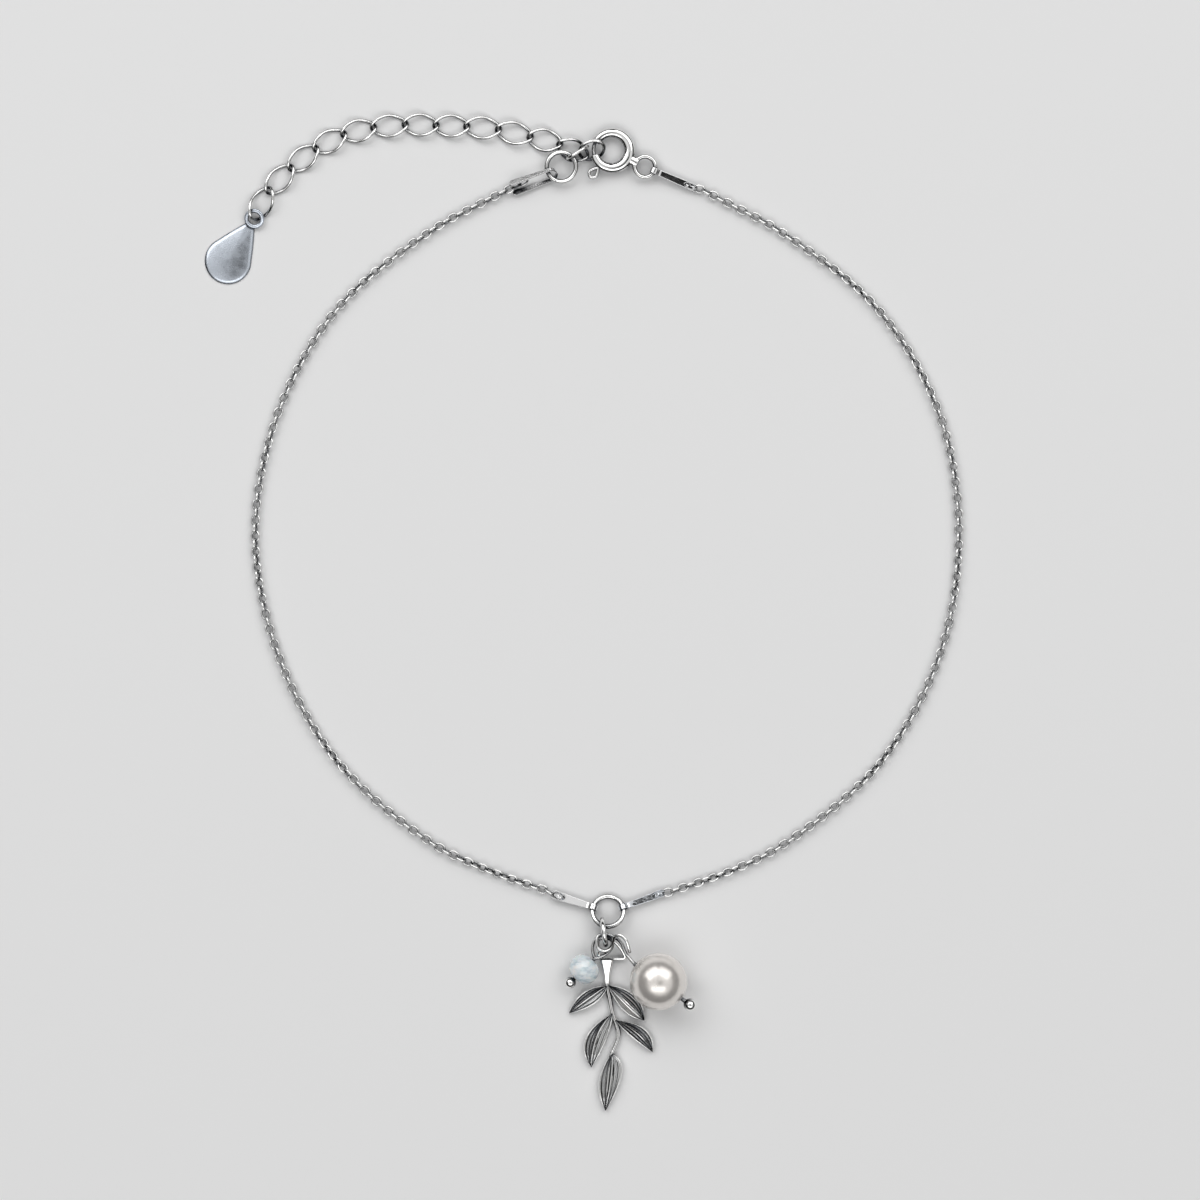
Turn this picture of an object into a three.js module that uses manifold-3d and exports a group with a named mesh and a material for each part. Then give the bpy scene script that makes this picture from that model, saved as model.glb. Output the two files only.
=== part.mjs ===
// Charm anklet: a fine trace chain closed by a bolt ring, with an extender chain and three drops.
// Millimetres, +Z up. It lies on z = 0. While it is built, X and Y count from the loop's middle;
// the last step moves the whole group so that the origin is under the middle of its box.

import * as THREE from 'three';
import { mergeVertices } from 'three/addons/utils/BufferGeometryUtils.js';
import Module from 'manifold-3d';

const wasm = await Module();
wasm.setup();

// --- driving dimensions -------------------------------------------------------------------

const chain = {
  width: 0.95,
  sides: 8,
  steps: 34,
  z: 0.475,
};

// The loop's radius at angles counted anticlockwise from +X, for the right and left halves.
const rightRoute = [
  { angle: 74.9, radius: 37.25 },
  { angle: 70, radius: 36.7 },
  { angle: 60, radius: 36.3 },
  { angle: 40, radius: 36.6 },
  { angle: 20, radius: 36.7 },
  { angle: 0, radius: 36.5 },
  { angle: -20, radius: 36.7 },
  { angle: -40, radius: 36.9 },
  { angle: -60, radius: 37.0 },
  { angle: -70, radius: 37.2 },
  { angle: -80.3, radius: 37.7 },
];
const leftRoute = [
  { angle: 106.5, radius: 37.35 },
  { angle: 110, radius: 37.0 },
  { angle: 120, radius: 36.6 },
  { angle: 140, radius: 36.7 },
  { angle: 160, radius: 36.6 },
  { angle: 180, radius: 36.7 },
  { angle: 200, radius: 36.5 },
  { angle: 220, radius: 36.7 },
  { angle: 240, radius: 36.9 },
  { angle: 250, radius: 37.0 },
  { angle: 260.4, radius: 37.6 },
];

const centreRing = { x: 0, y: -39.13, z: 0.9, radius: 1.625, wire: 0.27, tilt: 20 };
const bailRing = { x: -0.42, y: -41.25, z: 1.567, radius: 1.33, wire: 0.24, heading: 98, lean: 4 };
const endRing = { x: -4.86, y: 38.27, z: 1.0, radius: 1.525, wire: 0.25, tilt: 6, raised: 37 };

// Bolt ring: angles count anticlockwise from +X about its middle.
const clasp = {
  x: 0.4,
  y: 39.98,
  z: 0.85,
  radius: 1.91,
  thick: 0.41,
  thin: 0.33,
  bore: 0.26,
  openFrom: 155,
  openTo: 195,
  neckAngle: -26.4,
  boreTo: 298,
  socketFrom: 146,
  slotFrom: 221,
  slotTo: 291,
  slotWidth: 0.44,
};
const gate = { wire: 0.2, from: 149, to: 236 };
// The gate's thumb loop: a drop-shaped loop on a short stalk, at an angle from +X.
const thumbLoop = { angle: 231, wire: 0.14, foot: 2.4, shoulder: 2.76, belly: 3.18, tip: 3.56, wide: 0.42 };
const eyelet = { x: 3.84, y: 38.27, radius: 1.075, wire: 0.21 };
// The web between the tube and the eyelet, measured out from the ring's middle.
const neck = { foot: 1.75, waist: 2.35, top: 2.95, footHalf: 1.05, waistHalf: 0.35, topHalf: 0.62, thick: 0.46 };

// Folded end strips: the eye closes round a ring's wire, the tongue grips the chain's last link.
const strip = { eyeOuter: 0.5, eyeHole: 0.37, tongue: 0.36 };
const endTags = [
  { name: 'clasp_end_tag', eye: [4.83, 37.85, 0.85], end: [9.26, 35.98, 0.5], wide: [0.56, 0.74], roll: 0 },
  { name: 'centre_left_tag', eye: [-1.57, -38.7, 0.74], end: [-5.93, -37.34, 0.52], wide: [0.56, 1.0], roll: 14 },
  { name: 'centre_right_tag', eye: [1.57, -38.7, 0.74], end: [5.88, -37.13, 0.5], wide: [0.5, 0.8], roll: -16 },
];

// The fourth end strip lies on its side and has sprung open, so that its two leaves stand apart.
const openTag = {
  eye: [-6.05, 37.42, 0.87],
  end: [-10.05, 36.0, 0.9],
  apart: 1.46,
  thick: 0.18,
  wide: [0.4, 0.8],
  roll: 43,
};

// Extender: the places where neighbouring links meet, from the drop tag to the clasp.
const extender = { wire: 0.16, halfWidth: 1.09, overlap: 0.24, twist: 0.34, point: 0.04, z: 0.5 };
const junctions = [
  [-36.78, 33.14], [-35.3, 35.8], [-33.0, 38.2], [-30.4, 40.2], [-27.5, 41.7], [-24.4, 42.4], [-21.1, 42.7],
  [-17.9, 42.6], [-14.7, 42.5], [-11.4, 42.2], [-8.1, 41.4], [-5.05, 40.75],
];
// The link through the drop tag's eyelet is twisted further, to pass over and under its rim.
const tagLink = { twist: 0.46, z: 0.62, overlap: 0.34 };
// Near the clasp the links are pulled up on edge: 01 is in the end ring, and the gate is in 02.
const raisedLinks = [
  { at: [-3.19, 39.74, 1.27], half: [1.24, 0.84], heading: 30.8, lean: 94, pitch: 3.2, twist: 0, point: 0 },
  { at: [-1.69, 40.01, 0.84], half: [1.33, 1.1], heading: 22.7, lean: 36.2, pitch: 9.6, twist: 0, point: 0 },
  { at: [-3.69, 40.04, 0.545], half: [1.7, 1.085], heading: -23.4, lean: 6.8, pitch: 0, twist: 0.31, point: 0.05 },
];

const dropTag = {
  x: -39.55,
  y: 28.54,
  axis: 57.7,
  radius: 2.43,
  shoulderAngle: 58,
  waist: [3.1, 1.25],
  neckAt: 4.5,
  neckWide: 0.42,
  eyeAt: 5.15,
  eyeRise: 0.56,
  eyeTilt: 14,
  eyeOuter: 1.05,
  eyeHole: 0.62,
  eyeThick: 0.26,
  thick: 0.4,
};

const pearl = { x: 5.22, y: -46.3, radius: 3.0, bore: 0.45, axis: 143.7 };
const pearlPin = { pin: 0.22, wire: 0.165, ball: 0.675, ballAt: 4.06 };
const aqua = { x: -2.5, y: -45.1, z: 1.62, radius: 1.6, half: 1.32, face: 0.62, bore: 0.4, axis: 44.4 };
const aquaPin = { pin: 0.18, wire: 0.16, ball: 0.6, ballAt: 2.0 };

// Sprig: each leaf has a base, a tip and the widest place of each edge.
const leafThick = 0.8;
const leaves = [
  { base: [-0.1, -46.9], tip: [-4.06, -49.75], edges: [[-2.6, -47.55], [-1.2, -48.7]] },
  { base: [0.0, -46.8], tip: [3.8, -50.5], edges: [[2.9, -47.9], [1.5, -49.5]] },
  { base: [0.45, -49.75], tip: [-1.73, -55.4], edges: [[-2.4, -52.4], [0.08, -52.1]] },
  { base: [0.75, -50.45], tip: [4.65, -53.8], edges: [[3.95, -51.4], [2.24, -52.1]] },
  { base: [0.4, -53.95], tip: [-0.26, -59.9], edges: [[-1.0, -56.9], [1.5, -55.9]] },
];
const stemRoute = [
  [-0.12, -44.6], [-0.1, -46.7], [0.17, -48.3], [0.43, -49.7], [0.94, -51.1], [1.1, -52.1], [0.69, -53.3],
  [0.25, -54.3],
];
const stem = { wire: 0.26, z: 0.42, flareTop: -44.2, flareFoot: -46.7, flareHalf: 0.65 };

// --- materials ----------------------------------------------------------------------------

const silver = () => new THREE.MeshStandardMaterial({ color: 0xd9dadc, roughness: 0.12, metalness: 1 });
const pearlCream = () => new THREE.MeshStandardMaterial({ color: 0xece4df, roughness: 0.2, metalness: 0 });
const aquaStone = () => new THREE.MeshStandardMaterial({ color: 0xc3d3dc, roughness: 0.25, metalness: 0 });

// --- helpers ------------------------------------------------------------------------------

const rad = THREE.MathUtils.degToRad;
const polar = (angle, radius, z) =>
  new THREE.Vector3(radius * Math.cos(rad(angle)), radius * Math.sin(rad(angle)), z);
const points = (rows) => rows.map((row) => new THREE.Vector3(row[0], row[1], row[2]));

function piece(name, geometry, material) {
  const mesh = new THREE.Mesh(geometry, material);
  mesh.name = name;
  return mesh;
}

function welded(geometry) {
  const bare = geometry.clone();
  bare.deleteAttribute('normal');
  bare.deleteAttribute('uv');
  return mergeVertices(bare, 1e-4);
}

function solid(geometry) {
  const bare = welded(geometry);
  const vertProperties = new Float32Array(bare.attributes.position.array);
  const triVerts = new Uint32Array(bare.index.array);
  return new wasm.Manifold(new wasm.Mesh({ numProp: 3, vertProperties, triVerts }));
}

function fromSolid(body) {
  const mesh = body.getMesh();
  const geometry = new THREE.BufferGeometry();
  geometry.setAttribute('position', new THREE.BufferAttribute(mesh.vertProperties, 3));
  geometry.setIndex(new THREE.BufferAttribute(mesh.triVerts, 1));
  return geometry;
}

const joined = (geometries) => fromSolid(geometries.map(solid).reduce((all, next) => all.add(next)));

// A round wire that closes on itself along a closed curve.
function closedWire(curve, wire, steps, sides) {
  const geometry = new THREE.TorusGeometry(1, wire, sides, steps);
  const position = geometry.attributes.position;
  const frames = curve.computeFrenetFrames(steps, true);
  const spots = curve.getSpacedPoints(steps);
  const place = new THREE.Vector3();
  for (let side = 0; side <= sides; side += 1) {
    const turn = (side / sides) * 2 * Math.PI;
    for (let step = 0; step <= steps; step += 1) {
      const at = step % steps;
      place.copy(spots[at]);
      place.addScaledVector(frames.binormals[at], wire * Math.cos(turn));
      place.addScaledVector(frames.normals[at], wire * Math.sin(turn));
      position.setXYZ(side * (steps + 1) + step, place.x, place.y, place.z);
    }
  }
  return geometry;
}

// A round wire with flat ends along an open curve.
function openWire(curve, wire, steps, sides) {
  const section = new THREE.Shape();
  section.absarc(0, 0, wire, 0, 2 * Math.PI);
  return new THREE.ExtrudeGeometry(section, {
    steps,
    curveSegments: sides / 2,
    bevelEnabled: false,
    extrudePath: curve,
  });
}

// An arc of wire about a vertical axis, whose thickness may change with the angle.
function arcWire(radius, from, to, thickness, steps, sides) {
  const rows = [];
  for (let step = 0; step <= steps; step += 1) {
    rows.push(from + ((to - from) * step) / steps);
  }
  const geometry = new THREE.CylinderGeometry(1, 1, 1, sides, steps);
  geometry.deleteAttribute('normal');
  geometry.deleteAttribute('uv');
  const position = geometry.attributes.position;
  for (let i = 0; i < position.count; i += 1) {
    const angle = rad(rows[Math.round((position.getY(i) + 0.5) * steps)]);
    const half = thickness(THREE.MathUtils.radToDeg(angle));
    const reach = radius + half * position.getX(i);
    position.setXYZ(i, reach * Math.cos(angle), reach * Math.sin(angle), half * position.getZ(i));
  }
  flipIfInside(geometry);
  return geometry;
}

// Turns the faces over when they point inwards.
function flipIfInside(geometry) {
  const index = geometry.index.array;
  const position = geometry.attributes.position;
  const corner = [0, 1, 2].map(() => new THREE.Vector3());
  let volume = 0;
  for (let i = 0; i < index.length; i += 3) {
    corner.forEach((spot, k) => spot.fromBufferAttribute(position, index[i + k]));
    volume += corner[0].dot(corner[1].cross(corner[2]));
  }
  if (volume < 0) {
    for (let i = 0; i < index.length; i += 3) {
      [index[i], index[i + 1]] = [index[i + 1], index[i]];
    }
  }
}

// --- chain --------------------------------------------------------------------------------

function chainHalf(route) {
  const spots = route.map(({ angle, radius }) => polar(angle, radius, chain.z));
  const curve = new THREE.CatmullRomCurve3(spots, false, 'centripetal');
  return openWire(curve, chain.width / 2, chain.steps, chain.sides);
}

// --- rings --------------------------------------------------------------------------------

function ring({ radius, wire }) {
  return new THREE.TorusGeometry(radius, wire, 8, 20);
}

// Raises a flat ring on the side that faces an angle from +X.
function tiltedTowards(angle, tilt) {
  const hinge = new THREE.Vector3(Math.sin(rad(angle)), -Math.cos(rad(angle)), 0);
  return new THREE.Euler().setFromQuaternion(new THREE.Quaternion().setFromAxisAngle(hinge, rad(tilt)));
}

function placedRing(name, spec, turn) {
  const mesh = piece(name, ring(spec), silver());
  mesh.position.set(spec.x, spec.y, spec.z);
  mesh.rotation.copy(turn);
  return mesh;
}

// --- end strips ---------------------------------------------------------------------------

// Gives a strip its taper and its round end: x runs from the eye to the chain, y across.
function taper(geometry, length, [eyeWide, endWide]) {
  const position = geometry.attributes.position;
  const roundEnd = endWide / 2;
  for (let i = 0; i < position.count; i += 1) {
    const x = position.getX(i);
    const along = THREE.MathUtils.clamp(x / length, 0, 1);
    const wide = THREE.MathUtils.lerp(eyeWide, endWide, along) / 2;
    const past = Math.max(0, x - (length - roundEnd)) / roundEnd;
    const half = Math.max(0.12, wide * Math.sqrt(Math.max(0, 1 - past * past)));
    position.setY(i, position.getY(i) * half);
  }
}

// Stands a geometry with its x axis from one place to another, rolled about that axis.
function alongLine(geometry, from, to, roll) {
  const start = new THREE.Vector3(...from);
  const run = new THREE.Vector3(...to).sub(start);
  const heading = Math.atan2(run.y, run.x);
  const rise = Math.atan2(run.z, Math.hypot(run.x, run.y));
  geometry.rotateX(rad(roll));
  geometry.rotateY(-rise);
  geometry.rotateZ(heading);
  geometry.translate(start.x, start.y, start.z);
  return geometry;
}

// Places along a strip where its edge bends round at the chain end.
const roundStops = (length, endWide) => [0.55, 0.3, 0.12, 0].map((share) => length - share * endWide);

function foldedStrip({ eye, end, wide, roll }) {
  const length = new THREE.Vector3(...end).distanceTo(new THREE.Vector3(...eye));
  const half = strip.tongue / 2;
  const shoulder = Math.acos(half / strip.eyeOuter) - Math.PI / 2;
  const outline = new THREE.Shape();
  outline.absarc(0, 0, strip.eyeOuter, -shoulder, 2 * Math.PI + shoulder, false);
  const stops = roundStops(length, wide[1]);
  stops.forEach((x) => outline.lineTo(x, -half));
  [...stops].reverse().forEach((x) => outline.lineTo(x, half));
  const hole = new THREE.Path();
  hole.absarc(0, 0, strip.eyeHole, 0, 2 * Math.PI, true);
  outline.holes.push(hole);
  const geometry = new THREE.ExtrudeGeometry(outline, { depth: 2, bevelEnabled: false, curveSegments: 8 });
  geometry.translate(0, 0, -1);
  geometry.rotateX(Math.PI / 2);
  taper(geometry, length, wide);
  return alongLine(geometry, eye, end, roll);
}

function openedStrip({ eye, end, apart, thick, wide, roll }) {
  const length = new THREE.Vector3(...end).distanceTo(new THREE.Vector3(...eye));
  const outer = apart / 2 + thick / 2;
  const inner = apart / 2 - thick / 2;
  const outline = new THREE.Shape();
  const stops = roundStops(length, wide[1]);
  outline.absarc(0, 0, outer, Math.PI / 2, 1.5 * Math.PI, false);
  stops.forEach((x) => outline.lineTo(x, -outer));
  [...stops].reverse().forEach((x) => outline.lineTo(x, -inner));
  outline.absarc(0, 0, inner, 1.5 * Math.PI, Math.PI / 2, true);
  stops.forEach((x) => outline.lineTo(x, inner));
  [...stops].reverse().forEach((x) => outline.lineTo(x, outer));
  const geometry = new THREE.ExtrudeGeometry(outline, { depth: 2, bevelEnabled: false, curveSegments: 8 });
  geometry.translate(0, 0, -1);
  geometry.rotateX(Math.PI / 2);
  taper(geometry, length, wide);
  return alongLine(geometry, eye, end, roll);
}

// --- bolt ring ----------------------------------------------------------------------------

// Half the tube's thickness: fullest at the neck, slimmer towards the opening.
function tubeHalf(angle) {
  const away = Math.abs(((angle - clasp.neckAngle + 540) % 360) - 180) / 180;
  return THREE.MathUtils.lerp(clasp.thick, clasp.thin, away * away);
}

function claspNeck() {
  const { foot, waist, top, footHalf, waistHalf, topHalf, thick } = neck;
  const shape = new THREE.Shape();
  shape.moveTo(foot, -footHalf);
  shape.quadraticCurveTo(waist, -waistHalf, top, -topHalf);
  shape.lineTo(top, topHalf);
  shape.quadraticCurveTo(waist, waistHalf, foot, footHalf);
  const geometry = new THREE.ExtrudeGeometry(shape, { depth: thick, bevelEnabled: false, curveSegments: 5 });
  geometry.translate(0, 0, -thick / 2);
  geometry.rotateZ(rad(clasp.neckAngle));
  return geometry;
}

function claspBody() {
  const { radius, openFrom, openTo, bore, boreTo, socketFrom, slotFrom, slotTo, slotWidth } = clasp;
  const tube = arcWire(radius, openTo, openFrom + 360, tubeHalf, 24, 10);
  const loop = ring(eyelet);
  loop.translate(eyelet.x - clasp.x, eyelet.y - clasp.y, 0);
  const loopHole = new THREE.CylinderGeometry(
    eyelet.radius - eyelet.wire, eyelet.radius - eyelet.wire, 2, 16,
  );
  loopHole.rotateX(Math.PI / 2);
  loopHole.translate(eyelet.x - clasp.x, eyelet.y - clasp.y, 0);
  const hollow = arcWire(radius, openTo - 3, boreTo, () => bore, 12, 8);
  const socket = arcWire(radius, socketFrom, openFrom + 3, () => bore, 2, 8);
  const slot = new THREE.RingGeometry(radius, radius + 1, 12, 1, rad(slotFrom), rad(slotTo - slotFrom));
  const slotCut = slab(slot, slotWidth);
  const web = solid(claspNeck()).subtract(solid(loopHole));
  const body = solid(tube).add(solid(loop)).add(web);
  return fromSolid(body.subtract(solid(hollow)).subtract(solid(socket)).subtract(solid(slotCut)));
}

// A flat ring sector given a thickness about z = 0.
function slab(sector, thick) {
  const { innerRadius, outerRadius, thetaStart, thetaLength } = sector.parameters;
  const shape = new THREE.Shape();
  shape.absarc(0, 0, outerRadius, thetaStart, thetaStart + thetaLength, false);
  shape.absarc(0, 0, innerRadius, thetaStart + thetaLength, thetaStart, true);
  const geometry = new THREE.ExtrudeGeometry(shape, { depth: thick, bevelEnabled: false, curveSegments: 10 });
  geometry.translate(0, 0, -thick / 2);
  return geometry;
}

// The gate: a bent wire, and outside the tube a loop for the thumbnail.
function claspGate() {
  const arc = arcWire(clasp.radius, gate.from, gate.to, () => gate.wire, 12, 8);
  const { angle, wire, foot, shoulder, belly, tip, wide } = thumbLoop;
  const spots = points([
    [foot, 0, 0],
    [shoulder, wide * 0.72, 0],
    [belly, wide, 0],
    [tip, 0, 0],
    [belly, -wide, 0],
    [shoulder, -wide * 0.72, 0],
  ]);
  const loop = closedWire(new THREE.CatmullRomCurve3(spots, true), wire, 16, 6);
  const line = new THREE.LineCurve3(new THREE.Vector3(clasp.radius, 0, 0), new THREE.Vector3(foot, 0, 0));
  const stalk = openWire(line, wire, 1, 6);
  [loop, stalk].forEach((shape) => shape.rotateZ(rad(angle)));
  return joined([arc, stalk, loop]);
}

// --- extender -----------------------------------------------------------------------------

// An open link of drawn wire, twisted so that it lies flat in the chain.
class TwistedLink extends THREE.Curve {
  constructor(halfLength, halfWidth, twist, point) {
    super();
    Object.assign(this, { halfLength, halfWidth, twist, point });
  }

  getPoint(share, target = new THREE.Vector3()) {
    const turn = share * 2 * Math.PI;
    const { halfLength, halfWidth, twist, point } = this;
    return target.set(
      (halfLength * (Math.cos(turn) + point * Math.cos(3 * turn))) / (1 + point),
      (halfWidth * (Math.sin(turn) - point * Math.sin(3 * turn))) / (1 + point),
      -twist * Math.sin(2 * turn),
    );
  }
}

function chainLink(from, to, { twist, z, overlap }) {
  const span = Math.hypot(to[0] - from[0], to[1] - from[1]);
  return {
    at: [(from[0] + to[0]) / 2, (from[1] + to[1]) / 2, z],
    half: [span / 2 + overlap, extender.halfWidth],
    heading: THREE.MathUtils.radToDeg(Math.atan2(to[1] - from[1], to[0] - from[0])),
    lean: 0,
    pitch: 0,
    twist,
    point: extender.point,
  };
}

// Turned by its lean about its own length, then by its pitch, then to its heading.
function placedLink(name, { at, half, heading, lean, pitch, twist, point }) {
  const curve = new TwistedLink(half[0], half[1], twist, point);
  const mesh = piece(name, closedWire(curve, extender.wire, 16, 6), silver());
  mesh.position.set(...at);
  mesh.rotation.set(rad(lean), -rad(pitch), rad(heading), 'ZYX');
  return mesh;
}

function extenderLinks() {
  const flatLinks = junctions.slice(0, -1).map((from, i) => {
    return chainLink(from, junctions[i + 1], i === 0 ? tagLink : extender);
  });
  const specs = [...raisedLinks, ...flatLinks.reverse()];
  return specs.map((spec, i) => placedLink(`extender_link_${String(i + 1).padStart(2, '0')}`, spec));
}

// --- drop tag -----------------------------------------------------------------------------

function tagPlate() {
  const { radius, shoulderAngle, waist, neckAt, neckWide, thick } = dropTag;
  const shape = new THREE.Shape();
  const shoulder = rad(shoulderAngle);
  shape.absarc(0, 0, radius, shoulder, 2 * Math.PI - shoulder, false);
  shape.quadraticCurveTo(waist[0], -waist[1], neckAt, -neckWide);
  shape.lineTo(neckAt, neckWide);
  shape.quadraticCurveTo(waist[0], waist[1], radius * Math.cos(shoulder), radius * Math.sin(shoulder));
  return new THREE.ExtrudeGeometry(shape, { depth: thick, bevelEnabled: false, curveSegments: 12 });
}

function tagEyelet() {
  const { eyeAt, eyeRise, eyeTilt, eyeOuter, eyeHole, eyeThick } = dropTag;
  const shape = new THREE.Shape();
  shape.absarc(0, 0, eyeOuter, 0, 2 * Math.PI, false);
  const hole = new THREE.Path();
  hole.absarc(0, 0, eyeHole, 0, 2 * Math.PI, true);
  shape.holes.push(hole);
  const geometry = new THREE.ExtrudeGeometry(shape, { depth: eyeThick, bevelEnabled: false, curveSegments: 9 });
  geometry.translate(0, 0, -eyeThick / 2);
  geometry.rotateY(-rad(eyeTilt));
  geometry.translate(eyeAt, 0, eyeRise);
  return geometry;
}

function wholeTag() {
  const geometry = joined([tagPlate(), tagEyelet()]);
  geometry.rotateZ(rad(dropTag.axis));
  geometry.translate(dropTag.x, dropTag.y, 0);
  return geometry;
}

// --- sprig --------------------------------------------------------------------------------

const flat = (spot) => new THREE.Vector2(spot[0], spot[1]);

// The handle that makes a curve pass the widest place of an edge half way along.
function handle(base, wide, tip) {
  return wide.clone().multiplyScalar(2).addScaledVector(base, -0.5).addScaledVector(tip, -0.5);
}

// The area between two curves that share their ends, as a slab from one height to another.
function lens(base, tip, handles, low, high) {
  const shape = new THREE.Shape();
  shape.moveTo(base.x, base.y);
  shape.quadraticCurveTo(handles[0].x, handles[0].y, tip.x, tip.y);
  shape.quadraticCurveTo(handles[1].x, handles[1].y, base.x, base.y);
  const geometry = new THREE.ExtrudeGeometry(shape, {
    depth: high - low,
    bevelEnabled: false,
    curveSegments: 4,
  });
  geometry.translate(0, 0, low);
  return geometry;
}

function leafSolid({ base, tip, edges }) {
  const root = flat(base);
  const point = flat(tip);
  const outer = edges.map((edge) => handle(root, flat(edge), point));
  const rib = outer[0].clone().lerp(outer[1], 0.45);
  const body = solid(lens(root, point, outer, 0, leafThick));
  const hollows = outer.map((side) => {
    const near = rib.clone().lerp(side, 0.2);
    const far = rib.clone().lerp(side, 0.78);
    const aside = side.clone().sub(rib).setLength(0.07);
    const start = root.clone().lerp(point, 0.16).add(aside);
    const finish = root.clone().lerp(point, 0.84).add(aside);
    const pair = side === outer[0] ? [far, near] : [near, far];
    return solid(lens(start, finish, pair, leafThick - 0.3, leafThick + 0.2));
  });
  const stalkEnd = root.clone().lerp(point, 0.2);
  const stalk = openWire(new THREE.LineCurve3(
    new THREE.Vector3(root.x, root.y, stem.z),
    new THREE.Vector3(stalkEnd.x, stalkEnd.y, stem.z),
  ), 0.22, 1, 6);
  return hollows.reduce((leaf, hollow) => leaf.subtract(hollow), body.add(solid(stalk)));
}

function stemSolid() {
  const route = stemRoute.map(([x, y]) => new THREE.Vector3(x, y, stem.z));
  const wire = openWire(new THREE.CatmullRomCurve3(route), stem.wire, 11, 8);
  const shape = new THREE.Shape();
  shape.moveTo(-0.13 - stem.flareHalf, stem.flareTop);
  shape.quadraticCurveTo(-0.3, -45.4, -0.3, stem.flareFoot);
  shape.lineTo(0.1, stem.flareFoot);
  shape.quadraticCurveTo(0.05, -45.4, -0.13 + stem.flareHalf, stem.flareTop);
  const flare = new THREE.ExtrudeGeometry(shape, { depth: 0.6, bevelEnabled: false, curveSegments: 6 });
  flare.translate(0, 0, 0.12);
  return solid(wire).add(solid(flare));
}

// The bail, a bent wire triangle that the jump ring passes through.
const bailWire = 0.2;
const bailRoute = points([
  [-0.75, -44.05, 0.45],
  [0.6, -44.1, 0.45],
  [1.75, -44.0, 0.5],
  [1.45, -43.2, 0.65],
  [0.55, -42.2, 0.95],
  [-0.35, -41.86, 1.03],
  [-0.98, -42.1, 0.95],
  [-1.05, -42.9, 0.7],
]);

function sprig() {
  const bail = closedWire(new THREE.CatmullRomCurve3(bailRoute, true, 'centripetal'), bailWire, 20, 6);
  const bodies = leaves.map(leafSolid);
  return fromSolid(bodies.reduce((all, leaf) => all.add(leaf), stemSolid().add(solid(bail))));
}

// --- beads and their headpins ---------------------------------------------------------------

// Turns a lathed shape's axis from Y to lie level at an angle from +X.
function level(geometry, angle, x, y, z) {
  geometry.rotateZ(-Math.PI / 2);
  geometry.rotateZ(rad(angle));
  geometry.translate(x, y, z);
  return geometry;
}

function pearlBead() {
  const { radius, bore, axis, x, y } = pearl;
  const profile = [];
  const first = Math.asin(bore / radius);
  const rows = 10;
  for (let row = 0; row <= rows; row += 1) {
    const turn = first + ((Math.PI - 2 * first) * row) / rows;
    profile.push(new THREE.Vector2(radius * Math.sin(turn), -radius * Math.cos(turn)));
  }
  profile.push(profile[0].clone());
  return level(new THREE.LatheGeometry(profile, 20), axis, x, y, radius);
}

function facetedBead() {
  const { radius, half, face, bore, axis, x, y, z } = aqua;
  const profile = [
    [bore, -half], [face, -half], [1.28, -0.82], [radius, -0.28],
    [radius, 0.28], [1.28, 0.82], [face, half], [bore, half], [bore, -half],
  ].map(([out, up]) => new THREE.Vector2(out, up));
  return level(new THREE.LatheGeometry(profile, 10), axis, x, y, z);
}

// The ball and the straight pin of a headpin, from the ball to where the loop starts.
function pinAndBall(spec, bead, z, length) {
  const shaft = new THREE.CylinderGeometry(spec.pin, spec.pin, spec.ballAt + length, 8);
  shaft.translate(0, (length - spec.ballAt) / 2, 0);
  const ball = new THREE.SphereGeometry(spec.ball, 12, 8);
  ball.translate(0, -spec.ballAt, 0);
  return [shaft, ball].map((geometry) => level(geometry, bead.axis, bead.x, bead.y, z));
}

const pearlLoop = points([
  [2.75, -44.5, 2.95],
  [1.84, -43.4, 2.7],
  [1.36, -42.3, 2.45],
  [0.5, -41.72, 2.27],
  [-0.35, -41.42, 2.24],
  [-1.02, -41.34, 2.8],
  [-0.42, -41.32, 3.42],
  [0.45, -41.32, 3.5],
  [1.2, -41.45, 3.45],
  [1.84, -41.95, 3.4],
  [2.12, -42.75, 3.38],
  [2.55, -43.65, 3.3],
]);

const aquaLoop = points([
  [-1.3, -43.95, 1.62],
  [0.02, -43.33, 1.66],
  [0.47, -42.6, 1.7],
  [0.2, -41.86, 1.72],
  [-0.5, -41.6, 1.74],
  [-1.25, -41.9, 1.72],
  [-1.6, -42.68, 1.7],
  [-1.55, -43.45, 1.66],
]);

function headpin(spec, bead, z, loop, length, steps) {
  const eye = closedWire(new THREE.CatmullRomCurve3(loop, true, 'centripetal'), spec.wire, steps, 6);
  return joined([...pinAndBall(spec, bead, z, length), eye]);
}

// --- assembly -----------------------------------------------------------------------------

const anklet = new THREE.Group();
anklet.add(
  piece('chain_right', chainHalf(rightRoute), silver()),
  piece('chain_left', chainHalf(leftRoute), silver()),
  placedRing('centre_ring', centreRing, tiltedTowards(-90, centreRing.tilt)),
  placedRing('bail_ring', bailRing, new THREE.Euler(Math.PI / 2, rad(bailRing.lean), rad(bailRing.heading), 'ZYX')),
  placedRing('end_ring', endRing, tiltedTowards(endRing.raised, endRing.tilt)),
  ...endTags.map((spec) => piece(spec.name, foldedStrip(spec), silver())),
  piece('extender_end_tag', openedStrip(openTag), silver()),
);

const boltRing = new THREE.Group();
boltRing.position.set(clasp.x, clasp.y, clasp.z);
boltRing.add(piece('clasp_body', claspBody(), silver()), piece('clasp_gate', claspGate(), silver()));
anklet.add(boltRing);

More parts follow.
